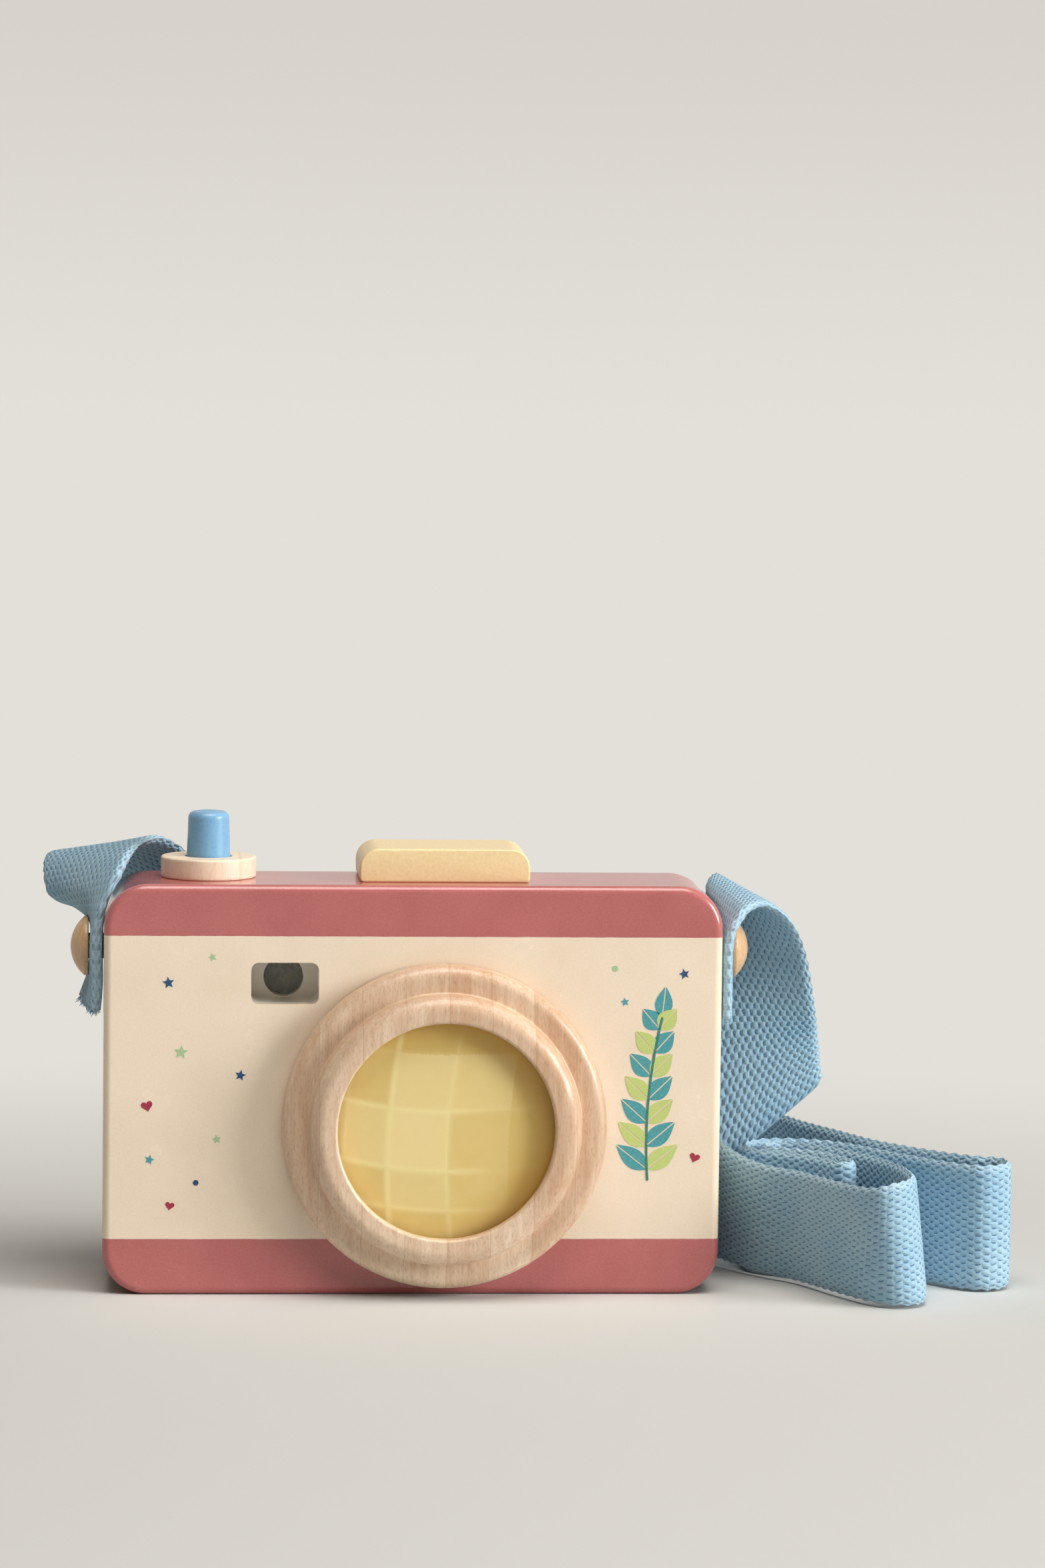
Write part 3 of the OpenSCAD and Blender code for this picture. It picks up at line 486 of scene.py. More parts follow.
def drawn_wire():
    """Drawn spring wire: grey steel with fine drawing lines, which is why its shine is broken."""
    material, tree, shader = new_finish("drawn_spring_wire", Metallic=1.0)
    at = add(tree, "ShaderNodeTexCoord").outputs["Object"]
    lines = add(
        tree, "ShaderNodeTexNoise", {"Vector": at, "Scale": 1 / (DRAWN_L * MM), "Detail": 3.0}
    ).outputs[0]
    colour = add(
        tree, "ShaderNodeMix", {0: lines, 6: srgb("#9A9A9C"), 7: srgb("#C4C5C8")}, data_type="RGBA"
    ).outputs[2]
    tree.links.new(colour, shader.inputs["Base Color"])
    shine = add(tree, "ShaderNodeMapRange", {0: lines, 1: 0.3, 2: 0.7, 3: 0.25, 4: 0.45}).outputs[0]
    tree.links.new(shine, shader.inputs["Roughness"])
    return material


def screen_ink(name, hex_colour, thin_colour):
    """Screen-printed ink: flat and matt, thin in spots where the mesh let less of it through."""
    material, tree, shader = new_finish(name, Specular_IOR_Level=0.3)
    at = add(tree, "ShaderNodeTexCoord").outputs["Object"]
    screen = add(
        tree, "ShaderNodeTexNoise", {"Vector": at, "Scale": 1 / (MESH_L * MM), "Detail": 3.0}
    ).outputs[0]
    thin = add(tree, "ShaderNodeMapRange", {0: screen, 1: 0.5, 2: 0.78, 4: 0.6}).outputs[0]
    colour = add(
        tree, "ShaderNodeMix", {0: thin, 6: srgb(hex_colour), 7: srgb(thin_colour)}, data_type="RGBA"
    ).outputs[2]
    tree.links.new(colour, shader.inputs["Base Color"])
    shine = add(tree, "ShaderNodeMapRange", {0: screen, 3: 0.5, 4: 0.65}).outputs[0]
    tree.links.new(shine, shader.inputs["Roughness"])
    return material


def seen_directly(tree):
    """1 for rays from the camera and for mirrored and refracted ones, 0 for those that only carry light."""
    path = add(tree, "ShaderNodeLightPath").outputs
    mirrored = add(
        tree,
        "ShaderNodeMath",
        {0: path["Is Glossy Ray"], 1: path["Is Transmission Ray"]},
        operation="MAXIMUM",
    ).outputs[0]
    return add(
        tree, "ShaderNodeMath", {0: path["Is Camera Ray"], 1: mirrored}, operation="MAXIMUM"
    ).outputs[0]


def studio_paper():
    """Seamless backdrop paper: pale grey and matt. Past FADE_FROM, in metres from a place before the toy, the
    eye sees it go over into the even tone of the backdrop."""
    material, tree, shader = new_finish("seamless_paper", Roughness=0.9, Specular_IOR_Level=0.1)
    shader.inputs["Base Color"].default_value = srgb(PAPER)
    at = add(tree, "ShaderNodeTexCoord").outputs["Object"]
    out = add(tree, "ShaderNodeVectorMath", {0: at, 1: FADE_MIDDLE}, operation="DISTANCE").outputs["Value"]
    far = add(
        tree, "ShaderNodeMapRange", {0: out, 1: FADE_FROM, 2: FADE_FULL}, interpolation_type="SMOOTHSTEP"
    )
    share = add(tree, "ShaderNodeMath", {0: far.outputs[0], 1: seen_directly(tree)}, operation="MULTIPLY")
    even = add(tree, "ShaderNodeEmission", {"Color": srgb(BACKDROP)})
    mixed = add(
        tree, "ShaderNodeMixShader", {0: share.outputs[0], 1: shader.outputs[0], 2: even.outputs[0]}
    )
    tree.links.new(mixed.outputs[0], tree.nodes["Material Output"].inputs["Surface"])
    return material


# Camera of the portrait


def stand_camera():
    """Camera fitted to the photograph: place in millimetres, then turn, tilt and roll in degrees."""
    place = np.array([-58.0, -1087.8, 198.1])
    turn, tilt, roll = np.radians([4.18, 5.21, 0.70])
    focal_px = 8400
    ahead = np.array([np.sin(turn) * np.cos(tilt), np.cos(turn) * np.cos(tilt), -np.sin(tilt)])
    right = np.array([np.cos(turn), -np.sin(turn), 0])
    up = np.cross(right, ahead)
    right, up = np.cos(roll) * right + np.sin(roll) * up, np.cos(roll) * up - np.sin(roll) * right
    optics = bpy.data.cameras.new("portrait_camera")
    optics.sensor_width = 36
    optics.lens = focal_px / PHOTO_HEIGHT * optics.sensor_width
    camera = bpy.data.objects.new("portrait_camera", optics)
    matrix = np.eye(4)
    matrix[:3, :3] = np.stack([right, up, -ahead], -1)
    matrix[:3, 3] = place * MM
    camera.matrix_world = Matrix(matrix.tolist())
    scene.collection.objects.link(camera)
    scene.camera = camera


stand_camera()


# Strap. Its route is a row of lines across the webbing, as in the part's source: each has its middle
# and its lay, which points from the middle to one edge.

STRAP_W = 25
STRAP_T = 1.8
STRAP_GAP = 0.6
FLOOR_GAP = 0.3
SHANK_R = 2.5
LEFT_SWELL = 0.6
LEFT_SWELL_AT = 8
RIGHT_SWELL = 0.25
RIGHT_SWELL_AT = 6
SWELL_L = 24
COLUMN = 1.35
HOLLOW = 1.47
SELVEDGE_FROM = 1.2
SELVEDGE_FULL = 0.4
CLOSED_W = 0.6
HALF_T = 0.82
BEAD_T = 0.08
BEAD_AT = 0.93
BEAD_W = 0.05
EDGE_POWER = 14
SCALLOP = 0.15
PITCH = 0.45
PUNCH_L = 2
THREAD_R = 0.14
THREAD_ROOT = 0.5
STRAP_X = BODY_W / 2 + STRAP_GAP + STRAP_T / 2

# Offset of the middle, then the lay, from the strap's place on the left peg
LEFT_LOOP = [
    (-1.3, 0.2, -11.6, 0.1, -0.99, 0.01),
    (-0.2, 0, -6.3, 0.03, -1, 0),
    (0, 0, 0, 0, -1, 0),
    (0, 0, 4.2, 0.02, -1, 0.04),
    (-1, 0, 7.8, 0.2, -0.97, 0.12),
    (-2.4, 1.7, 11.2, 0.53, -0.86, 0.24),
    (-2.2, 5.4, 15, 0.67, -0.76, 0.18),
    (-1, 11.4, 17.2, 0.73, -0.68, 0.15),
    (1.5, 17.4, 17.5, 0.72, -0.68, 0.19),
    (4.3, 22.4, 16.5, 0.7, -0.68, 0.26),
    (8.5, 25.1, 12.4, 0.68, -0.62, 0.41),
    (15, 23.4, 4.2, 0.68, -0.44, 0.6),
    (23.5, 19.4, -7.5, 0.64, -0.2, 0.74),
    (33.5, 16.4, -21.8, 0.64, -0.04, 0.76),
]
# The same from the left side of the body, its back and the floor
BACK_FALL = [(46.5, 3.3, 29.8, 0.44, 0.02, 0.9), (66, 2.7, 18.6, 0.16, 0.01, 0.99)]
# Stretches on edge: offsets in X and Y from the right side of the body and its back, the upper edge's
# lean towards +Y, the lift off the floor and the lean towards +X
FLOOR_RUN = [
    (-32, 2.5, 0, 3, 0), (-10, 2.4, 0, 2.5, 0), (-2, 2.3, -1, 2.5, 0), (2.4, 0.8, -4, 2, 0),
    (5.6, -5.5, -8, 1.5, 0), (10, -12.5, -9, 0.9, 0), (16.5, -20.5, -9, 0.7, 0),
    (22.7, -33.5, -9, 0.7, 0), (27.5, -42, -8, 0.7, 0), (32, -44.5, -4, 0.6, -1),
    (36.2, -41.5, -1, 0.5, -2.5), (37.8, -34.5, 0, 0.4, -2.5),
]  # fmt: skip
# The rest of them, straight up on the floor
FOLDS = [
    (35.5, -23.5), (31.5, -11.5), (26, -2.5), (20, 4), (15.5, 6), (12.5, 4), (12.5, 0), (16, -2.5), (21, -6),
    (24.5, -10.4), (26.6, -14.8), (27.2, -18), (26.3, -20.4), (24.1, -20.4), (23, -18.2), (21.2, -15),
    (18.3, -11.4), (14.5, -7.8), (11, -5), (8.5, -1), (9, 5), (13, 9), (20, 9), (28, 4.5), (36, -6.5),
    (43, -16.5), (48, -22.5), (52.6, -25), (57.2, -22), (57.2, -15.5), (51.6, -12.5), (45.5, -6.5), (39, 1.5),
    (34, 9.5), (29, 20.5), (23.5, 32.5), (19.5, 44.5), (15, 54.5), (7, 59.5), (-2, 57),
]  # fmt: skip
LAST_FOLD = [(-6, 48.5, 0, 0.6, 0)]
# Offset and lay from the right side of the body, its back and the floor
RIGHT_RISE = [
    (-2.2, 33, 16.3, 0.38, 0.28, 0.86),
    (6, 20.5, 22.3, 0.84, 0.08, 0.86),
    (12, 15, 25.3, 1, 0, 0.86),
    (12.1, 13.5, 31.5, 1, 0, 0.68),
]
# Offset and lay from the strap's place on the right peg
RIGHT_LOOP = [
    (9.9, 24.7, -23.3, 1, -0.06, 0.24),
    (9.2, 23.9, -15, 0.99, -0.16, -0.02),
    (8, 22.2, -5, 0.92, -0.42, -0.06),
    (7.5, 19.9, 1.9, 0.76, -0.64, -0.1),
    (6.4, 15.9, 7.4, 0.55, -0.8, -0.15),
    (4.5, 10.2, 10.3, 0.32, -0.9, -0.14),
    (1.7, 4.7, 9.9, 0.23, -0.94, -0.13),
    (0.5, 1.9, 8.2, 0.16, -0.97, -0.12),
    (0.1, 0.4, 5, 0.05, -1, -0.06),
    (0, 0, 0, 0, -1, 0),
    (0, 0, -6.3, 0, -1, 0),
    (0, 0, -12.8, 0, -1, 0),
]


def hung(rows, at):
    """Lines of a hanging stretch: the offset is moved to the point at, and the lay stays."""
    return np.array(rows, float) + np.array([*at, 0, 0, 0])


def standing(rows):
    """Lines of a stretch on edge. The lay leans by lean / width, and its height is what makes it 1 long."""
    dx, dy, lean_y, lift, lean_x = np.array(rows, float).T
    lean_x, lean_y = lean_x / STRAP_W, lean_y / STRAP_W
    rise = np.sqrt(1 - lean_x**2 - lean_y**2)
    middle = [BODY_W / 2 + dx, BACK_Y + dy, lift + rise * STRAP_W / 2]
    return np.stack([*middle, lean_x, lean_y, rise], -1)


def smooth(row, steps):
    """Catmull-Rom curve through a row of points a, b, c, d and on, which runs straight on at its ends.

    Between b and c it is b + ((c - a) t + (2 a - 5 b + 4 c - d) t^2 + (3 (b - c) + d - a) t^3) / 2.
    """
    led = np.vstack([2 * row[0] - row[1], row, 2 * row[-1] - row[-2]])
    a, b, c, d = (led[k : k + len(row) - 1, None] for k in range(4))
    t = (np.arange(steps) / steps)[:, None]
    spans = b + ((c - a) * t + (2 * a - 5 * b + 4 * c - d) * t**2 + (3 * (b - c) + d - a) * t**3) / 2
    return np.vstack([spans.reshape(-1, row.shape[1]), row[-1:]])


def strap_frame(pitch):
    """Middles, lays and normals along the strap at an even pitch, and the length run so far. The normal is
    square to the way ahead and to the lay."""
    route = np.vstack(
        [
            hung(LEFT_LOOP, (-STRAP_X, PEG_Y, PEG_Z)),
            hung(BACK_FALL, (-BODY_W / 2, BACK_Y, 0)),
            standing(FLOOR_RUN),
            standing([(x, y, 0, FLOOR_GAP, 0) for x, y in FOLDS]),
            standing(LAST_FOLD),
            hung(RIGHT_RISE, (BODY_W / 2, BACK_Y, 0)),
            hung(RIGHT_LOOP, (STRAP_X, PEG_Y, PEG_Z)),
        ]
    )
    path = smooth(route, 32)
    fine = np.append(0, np.cumsum(np.linalg.norm(np.diff(path[:, :3], axis=0), axis=1)))
    run = np.linspace(0, fine[-1], int(fine[-1] / pitch) + 1)
    path = np.stack([np.interp(run, fine, column) for column in path.T], -1)
    middle, lay = path[:, :3], path[:, 3:]
    normal = np.cross(np.gradient(middle, axis=0), lay)
    normal /= np.linalg.norm(normal, axis=1, keepdims=True)
    return middle, lay, normal, run


def webbing_strap(material):
    """Webbing: a flat section carried along the route.

    Across it, p goes from -1 to 1 and back. The half thickness is HALF_T + BEAD_T * bead, times the square
    root of 1 - |p|^EDGE_POWER, where the bead swells at the selvedges. The edges scallop by SCALLOP to both
    sides, once every two columns of yarn. The loose ends are fuller by a share that follows 1 - x^2, where x
    is the distance from the fullest place over SWELL_L. Both ends close where the thickness drops to nothing.
    """
    middle, lay, normal, run = strap_frame(PITCH)
    s = np.linspace(-1, 1, 25)
    p = np.sin(s * np.pi / 2) * 0.35 + s * 0.65
    bead = np.exp(-(((np.abs(p) - BEAD_AT) / BEAD_W) ** 2))
    half_t = (HALF_T + BEAD_T * bead) * np.sqrt(1 - np.abs(p) ** EDGE_POWER)
    around = np.append(p, p[-2::-1])
    section = np.append(half_t, -half_t[-2::-1])
    left = (run - LEFT_SWELL_AT) / SWELL_L
    right = (run[-1] - run - RIGHT_SWELL_AT) / SWELL_L
    swell = 1 + LEFT_SWELL * np.clip(1 - left**2, 0, 1) + RIGHT_SWELL * np.clip(1 - right**2, 0, 1)
    swell[[0, -1]] = 0
    half_w = STRAP_W / 2 - SCALLOP + SCALLOP * np.cos(np.pi * run / COLUMN)
    offset = lay[:, None] * (half_w[:, None] * around)[:, :, None]
    rise = normal[:, None] * (swell[:, None] * section)[:, :, None]
    grid = middle[:, None] + offset + rise
    edge = np.sign(around) * (half_t.max() - np.abs(section))
    uv = np.stack(np.broadcast_arrays(run[:, None], around * STRAP_W / 2 + edge), -1)
    return surface("webbing_strap", grid[None], material, uv[None], sharp=80), run[-1]


def cut_peg_holes(strap):
    """Cuts the strap where the pegs pass: a round hole with the clearance of the part's source."""
    hole_r = SHANK_R + STRAP_GAP
    profile = np.array([[0, -PUNCH_L], [hole_r, -PUNCH_L], [hole_r, PUNCH_L], [0, PUNCH_L]], float)
    for side in (-1, 1):
        pin = turned(profile, (side * STRAP_X, PEG_Y, PEG_Z), (1, 0, 0), 48)
        punch = surface("punch", pin, strap.data.materials[0])
        cut = strap.modifiers.new("peg_hole", "BOOLEAN")
        cut.operation = "DIFFERENCE"
        cut.object = punch
        cut.solver = "EXACT"
        bpy.context.view_layer.update()
        holed = bpy.data.meshes.new_from_object(strap.evaluated_get(bpy.context.evaluated_depsgraph_get()))
        strap.modifiers.clear()
        strap.data = holed
        bpy.data.objects.remove(punch)


def frayed_ends(material):
    """Yarn ends at both cuts: short tapered threads that leave the cut in slightly different directions.

    The thread's middle at u from 0 to 1 is root + length * (u * out + u^2 * droop), and its radius is
    THREAD_R times the square root of 1 - u^2.
    """
    chance = np.random.default_rng(7)
    middle, lay, normal, _ = strap_frame(2)
    threads, rings, sides = 200, 5, 6
    place = np.linspace(-0.97, 0.97, threads)
    layer = chance.uniform(-0.8, 0.8, threads)
    grids = []
    for end, inner in ((0, 1), (-1, -2)):
        out = middle[end] - middle[inner]
        out /= np.linalg.norm(out)
        across = lay[end] * place[:, None] * STRAP_W / 2
        root = middle[end] + across + normal[end] * layer[:, None] - out * THREAD_ROOT
        length = chance.uniform(0.6, 1.1, (threads, 1, 1))
        stray = chance.normal(0, 0.4, (threads, 1, 3))
        droop = chance.normal(0, 0.35, (threads, 1, 3)) + np.array([0, 0, -0.25])
        u = np.linspace(0, 1, rings)[:, None]
        core = root[:, None] + length * (u * (out + stray) + u**2 * droop)
        radius = THREAD_R * np.sqrt(1 - u**2)
        angle = np.linspace(0, 2 * np.pi, sides + 1)
        spoke = np.cos(angle)[:, None] * lay[end] + np.sin(angle)[:, None] * normal[end]
        spoke[-1] = spoke[0]
        grids.append(core[:, :, None] + radius[:, :, None] * spoke)
    closed = np.concatenate(grids)
    bottom = np.broadcast_to(closed[:, :1].mean(axis=2, keepdims=True), closed[:, :1].shape)
    return surface("frayed_yarn_ends", np.concatenate([bottom, closed], axis=1), material)


strap, strap_length = webbing_strap(cotton_webbing())
cut_peg_holes(strap)
stands_for(strap, "camera", "webbing", "strap")
fray = stands_for(frayed_ends(yarn_ends()), "camera", "webbing")


# Body and what it holds: these CAD nodes keep their shape and take a finish

UPPER_BAND = 70.1
LOWER_BAND = 11.0
MASK_BLUR = 0.12
MASK_WAVER = 0.14
PRIMER_FROM = 1.3
PRIMER_FULL = 2.2
STAVE_JOINT = LENS_AXIS[0] + 0.4

paint = satin_paint_on_board()
beech_turned = beech("lacquered_beech", "#ECD6BB", "#C8A180", "#986F4F", 8.3, 0.45, 0.3)
beech_pegs = beech("oiled_beech", "#DDB88B", "#C5986A", "#8E6844", 40, 0, 0.3)
beech_pale = beech("sanded_birch", "#F5E6CF", "#ECD8B9", "#D2B48C", 40, 0, 0.0)
finishes = {
    "main_body": paint,
    "front_panel": paint,
    "viewfinder_pane": smoked_acrylic(),
    "lens_retainer": beech_turned,
    "ring_keeper": beech_turned,
}
for row in ("flash_dowel", "panel_dowel_top", "panel_dowel_bottom"):
    finishes |= {f"{row}_left": beech_pegs, f"{row}_right": beech_pegs}
for node, finish in finishes.items():
    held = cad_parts[node].data.materials
    held.clear()
    held.append(finish)


# Lens ring and lens

STEP_R = (ring_high[0] - ring_low[0]) / 2
STEP_H = 5.6
STEP_ROUND = 2.2
NOSE_R = 26.3
NOSE_H = 10.5
NOSE_ROUND = 3
MOUTH_R = 21
LIP_ROUND = 0.6
SPIGOT_R = 24.5
SEAT_R = 22.05
LENS_RECESS = 2.4
EASE = 0.35


def lens_ring(material):
    """Turned ring: its section in two rounded steps, lip, lens seat and spigot, turned about the lens axis.

    Heights run to the front from the ring's back face. Arcs are quarter circles.
    """
    spigot = ring_high[1] - ring_low[1] - NOSE_H
    seat = NOSE_H - LENS_RECESS
    profile = section(
        (SEAT_R, -spigot),
        (SPIGOT_R, -spigot),
        (SPIGOT_R, 0),
        arc((STEP_R - EASE, EASE), EASE, -90, 0, 5),
        arc((STEP_R - STEP_ROUND, STEP_H - STEP_ROUND), STEP_ROUND, 0, 90, 16),
        arc((NOSE_R + EASE, STEP_H + EASE), EASE, -90, -180, 5),
        arc((NOSE_R - NOSE_ROUND, NOSE_H - NOSE_ROUND), NOSE_ROUND, 0, 90, 18),
        arc((MOUTH_R + LIP_ROUND, NOSE_H - LIP_ROUND), LIP_ROUND, 90, 180, 8),
        (MOUTH_R, seat),
        (SEAT_R, seat),
        (SEAT_R, -spigot),
    )
    back = LENS_AXIS + (0, ring_low[1] + NOSE_H, 0)
    return surface("turned_ring", turned(profile, back, (0, -1, 0), 240), material)


# Facet edges seen from the front, as distances from the lens axis, and how strong a painted highlight each
# one gets
FACET_X = np.array([-19.8, -11.3, 0.3, 12])
FACET_X_HIGHLIGHT = np.array([0.25, 0.8, 0.4, 0.15])
FACET_Z = np.array([-15.8, -8.1, 3.6, 14.6])
FACET_Z_HIGHLIGHT = np.array([0.5, 0.75, 0.7, 0.2])
FACET_X_ENDS = (-30, 24)
FACET_Z_ENDS = (-26, 26)
# Middle of the painted pool of light on the lens, and how fast it falls off
LIT_MIDDLE_X = -5
LIT_MIDDLE_Z = -2
PAINTED_LIGHT_FALL = 0.042
TONE_SPREAD = 0.24
BEVEL_FADE = 11
BEVEL = 0.6
FACE_T = 0.6
FACE_EASE = 0.15
FACET_GAP = 0.25
BOW_X = 0.004
BOW_LOW = 7
BOW_Z = 0.0065
BOW_Z_RIGHT = 0.33
LENS_R = (lens_high[0] - lens_low[0]) / 2
SIDE_GAP = 0.3
EDGE_T = 3
BACK_R = 20.2
FRONT_DISH = 0.004
DROP_SHARE = 0.35
BACK_DISH = 0.006
# Painted shade on the lens rim: where it begins and how wide it grows
SHADED_RIM_FROM = 13
SHADED_RIM_W = 8


def lens_body(material):
    """Cut body of the lens behind its polished face.

    The edges bow: u is x less BOW_X (z + BOW_LOW)^2 and v is z less BOW_Z x^2, a third of that right of the
    axis. A square's front drops with the square of its middle's distance from the axis, and tilts with the
    slope there. The bevel number, a painted highlight, follows exp(-(d / BEVEL)^2) at a distance d from an
    edge, and fades to the right into painted shade. A square's tone has a random share and a painted pool of
    light that falls off from the middle ones, and the rim number, a painted shade, grows to the right. The
    back is a dome.
    """
    rings = np.append(np.linspace(0, 1, 96), 1) * (LENS_R - SIDE_GAP)
    angle = np.linspace(0, 2 * np.pi, 481)
    x = rings[:, None] * np.cos(angle)
    z = rings[:, None] * np.sin(angle)
    u = x - BOW_X * (z + BOW_LOW) ** 2
    v = z - BOW_Z * x**2 * np.where(x < 0, 1, BOW_Z_RIGHT)
    pale_u = FACET_X_HIGHLIGHT * np.exp(-(((u[..., None] - FACET_X) / BEVEL) ** 2))
    pale_v = FACET_Z_HIGHLIGHT * np.exp(-(((v[..., None] - FACET_Z) / BEVEL) ** 2))
    column, row = np.digitize(u, FACET_X), np.digitize(v, FACET_Z)
    wide = np.sort([*FACET_X_ENDS, *FACET_X])
    high = np.sort([*FACET_Z_ENDS, *FACET_Z])
    mid_u = (wide[column] + wide[column + 1]) / 2
    mid_v = (high[row] + high[row + 1]) / 2
    slope = mid_u * (u - mid_u) + mid_v * (v - mid_v)
    drop = FRONT_DISH * (mid_u**2 + mid_v**2) + 2 * FRONT_DISH * slope
    # Painted highlight along the facet edges, fading into painted shade to the right
    bevel_highlight = np.maximum(pale_u.max(-1), pale_v.max(-1)) * np.clip(1 - np.maximum(x, 0) / BEVEL_FADE, 0.15, 1)
    uneven = np.random.default_rng(3).uniform(-TONE_SPREAD, TONE_SPREAD, (6, 6))[column, row]
    # Painted pool of light: the squares get darker away from a lit middle, with a random share
    tone = np.clip(1.05 - PAINTED_LIGHT_FALL * np.hypot(mid_u - LIT_MIDDLE_X, mid_v - LIT_MIDDLE_Z) + uneven, 0, 1)
    from_axis = np.hypot(x, z)
    # Painted shade: the rim's darker gold is strongest to the right and top, where the ring's lip shades the
    # lens
    shaded_side = np.clip(0.5 + 0.04 * x + 0.016 * z, 0.12, 1)
    rim = np.clip((from_axis - SHADED_RIM_FROM) / SHADED_RIM_W, 0, 1) ** 1.5 * shaded_side
    front_y = lens_low[1] + FACE_T + FACET_GAP + DROP_SHARE * drop
    edge_y = lens_low[1] + EDGE_T
    rise = lens_high[1] - lens_low[1] - EDGE_T
    back_y = np.minimum(edge_y + np.maximum(rise - BACK_DISH * (u**2 + v**2), 0), lens_high[1])
    back_y = np.where(from_axis > BACK_R, edge_y, back_y)
    front = np.stack([LENS_AXIS[0] + x, front_y, LENS_AXIS[2] + z], -1)
    back = np.stack([LENS_AXIS[0] + x, back_y, LENS_AXIS[2] + z], -1)
    grid = np.concatenate([front, back[::-1]])
    grid[:, -1] = grid[:, 0]
    values = {"square_tone_and_light": tone, "bevel_highlight": bevel_highlight, "rim": rim}
    values = {key: np.concatenate([numbers, numbers[::-1]]) for key, numbers in values.items()}
    return surface("cut_lens", grid[None], material, values=values, sharp=25)


def lens_face(material):
    """Polished front of the lens: a thin disc with an eased edge."""
    profile = np.concatenate(
        [
            line((0, 0), (LENS_R - FACE_EASE, 0), 1.5),
            arc((LENS_R - FACE_EASE, -FACE_EASE), FACE_EASE, 90, 0, 4),
            line((LENS_R, -FACE_EASE), (LENS_R, -FACE_T)),
            line((LENS_R, -FACE_T), (0, -FACE_T), 1.5),
        ]
    )
    grid = turned(profile, LENS_AXIS + (0, lens_low[1], 0), (0, -1, 0), 160)
    return surface("lens_face", grid, material)


stands_for(lens_ring(beech_turned), "lens", "turned_beech", "lens_ring")
stands_for(lens_body(tinted_acrylic()), "lens", "yellow_lens", "faceted_lens")
stands_for(lens_face(clear_face()), "lens", "yellow_lens")


# Button with its collar and spring, the block and the pegs

BUTTON_R = 4.25
BUTTON_TIP_R = 4
BUTTON_ROUND = 1.3
BUTTON_CROWN = 0.25
BUTTON_AXIS = (collar_mid[0], collar_mid[1], 0)
FOOT_R = 5.4
FOOT_T = 3
STUB_R = 2.8
STUB_L = 5
STOP_GAP = 0.1
COIL_R = 3.9
WIRE_D = 0.8
COIL_TURNS = 7
COLLAR_HOLE_R = 4.55
COLLAR_EASE = 0.4
HOLE_EASE = 0.2
HEAD_R = 5.8
HEAD_GAP = STRAP_T + 2 * STRAP_GAP
HEAD_RIM = 0.8
HEAD_EASE = 0.25
DOME_H = 2.7
SHANK_L = 11
BLOCK_TOP_R = 3.7
BLOCK_FOOT_R = 0.8
BLOCK_EDGE = 0.4


def push_button(material):
    """Turned button: a shaft that narrows to its rounded, slightly crowned top, a foot flange and a stub.

    Heights are above the base. The crown drops by BUTTON_CROWN, with the square of the radius.
    """
    top = button_high[2]
    foot_top = TOP_Z - STOP_GAP
    foot = foot_top - FOOT_T
    shoulder = top - BUTTON_CROWN - BUTTON_ROUND
    flat_r = BUTTON_TIP_R - BUTTON_ROUND
    crown = np.linspace(flat_r, 0, 10)
    profile = section(
        (0, foot - STUB_L),
        (STUB_R, foot - STUB_L),
        (STUB_R, foot),
        (FOOT_R, foot),
        (FOOT_R, foot_top),
        (BUTTON_R, foot_top),
        (BUTTON_R, collar_high[2]),
        arc((flat_r, shoulder), BUTTON_ROUND, 0, 90, 14),
        np.stack([crown, top - BUTTON_CROWN * (crown / flat_r) ** 2], -1),
    )
    return surface("push_button", turned(profile, BUTTON_AXIS, (0, 0, 1), 128), material)


def button_collar(material):
    """Wood collar: a square section with eased edges, turned round the button. Heights are above the base."""
    low, top = collar_low[2], collar_high[2]
    outer = (collar_high[0] - collar_low[0]) / 2
    profile = section(
        (COLLAR_HOLE_R, low),
        arc((outer - COLLAR_EASE, low + COLLAR_EASE), COLLAR_EASE, -90, 0, 6),
        arc((outer - COLLAR_EASE, top - COLLAR_EASE), COLLAR_EASE, 0, 90, 6),
        arc((COLLAR_HOLE_R + HOLE_EASE, top - HOLE_EASE), HOLE_EASE, 90, 180, 4),
        (COLLAR_HOLE_R, low),
    )
    return surface("wood_collar", turned(profile, BUTTON_AXIS, (0, 0, 1), 160), material)


def button_spring(material):
    """Coil spring: a round wire whose middle climbs evenly round a circle, from the bore's floor up.

    At angle a of the coil and t of the wire, the distance from the axis is COIL_R + w cos t and the height is
    the climb at a plus w sin t, where w is half the wire. A point in the wire's middle closes each end.
    """
    low, high, middle = box_mm("button_spring")
    a = np.linspace(0, 2 * np.pi * COIL_TURNS, 36 * COIL_TURNS + 1)[:, None]
    t = np.linspace(0, 2 * np.pi, 13)
    half = WIRE_D / 2
    out = COIL_R + half * np.cos(t)
    climb = low[2] + half + (high[2] - low[2] - WIRE_D) * a / a[-1]
    wire = np.stack([out * np.cos(a), out * np.sin(a), climb + half * np.sin(t)], -1)
    wire += (middle[0], collar_mid[1], 0)
    ends = np.broadcast_to(wire[[0, -1], :-1].mean(axis=1, keepdims=True), (2, len(t), 3))
    grid = np.concatenate([ends[:1], wire, ends[1:]])
    return surface("button_spring_wire", grid[None], material, sharp=60)


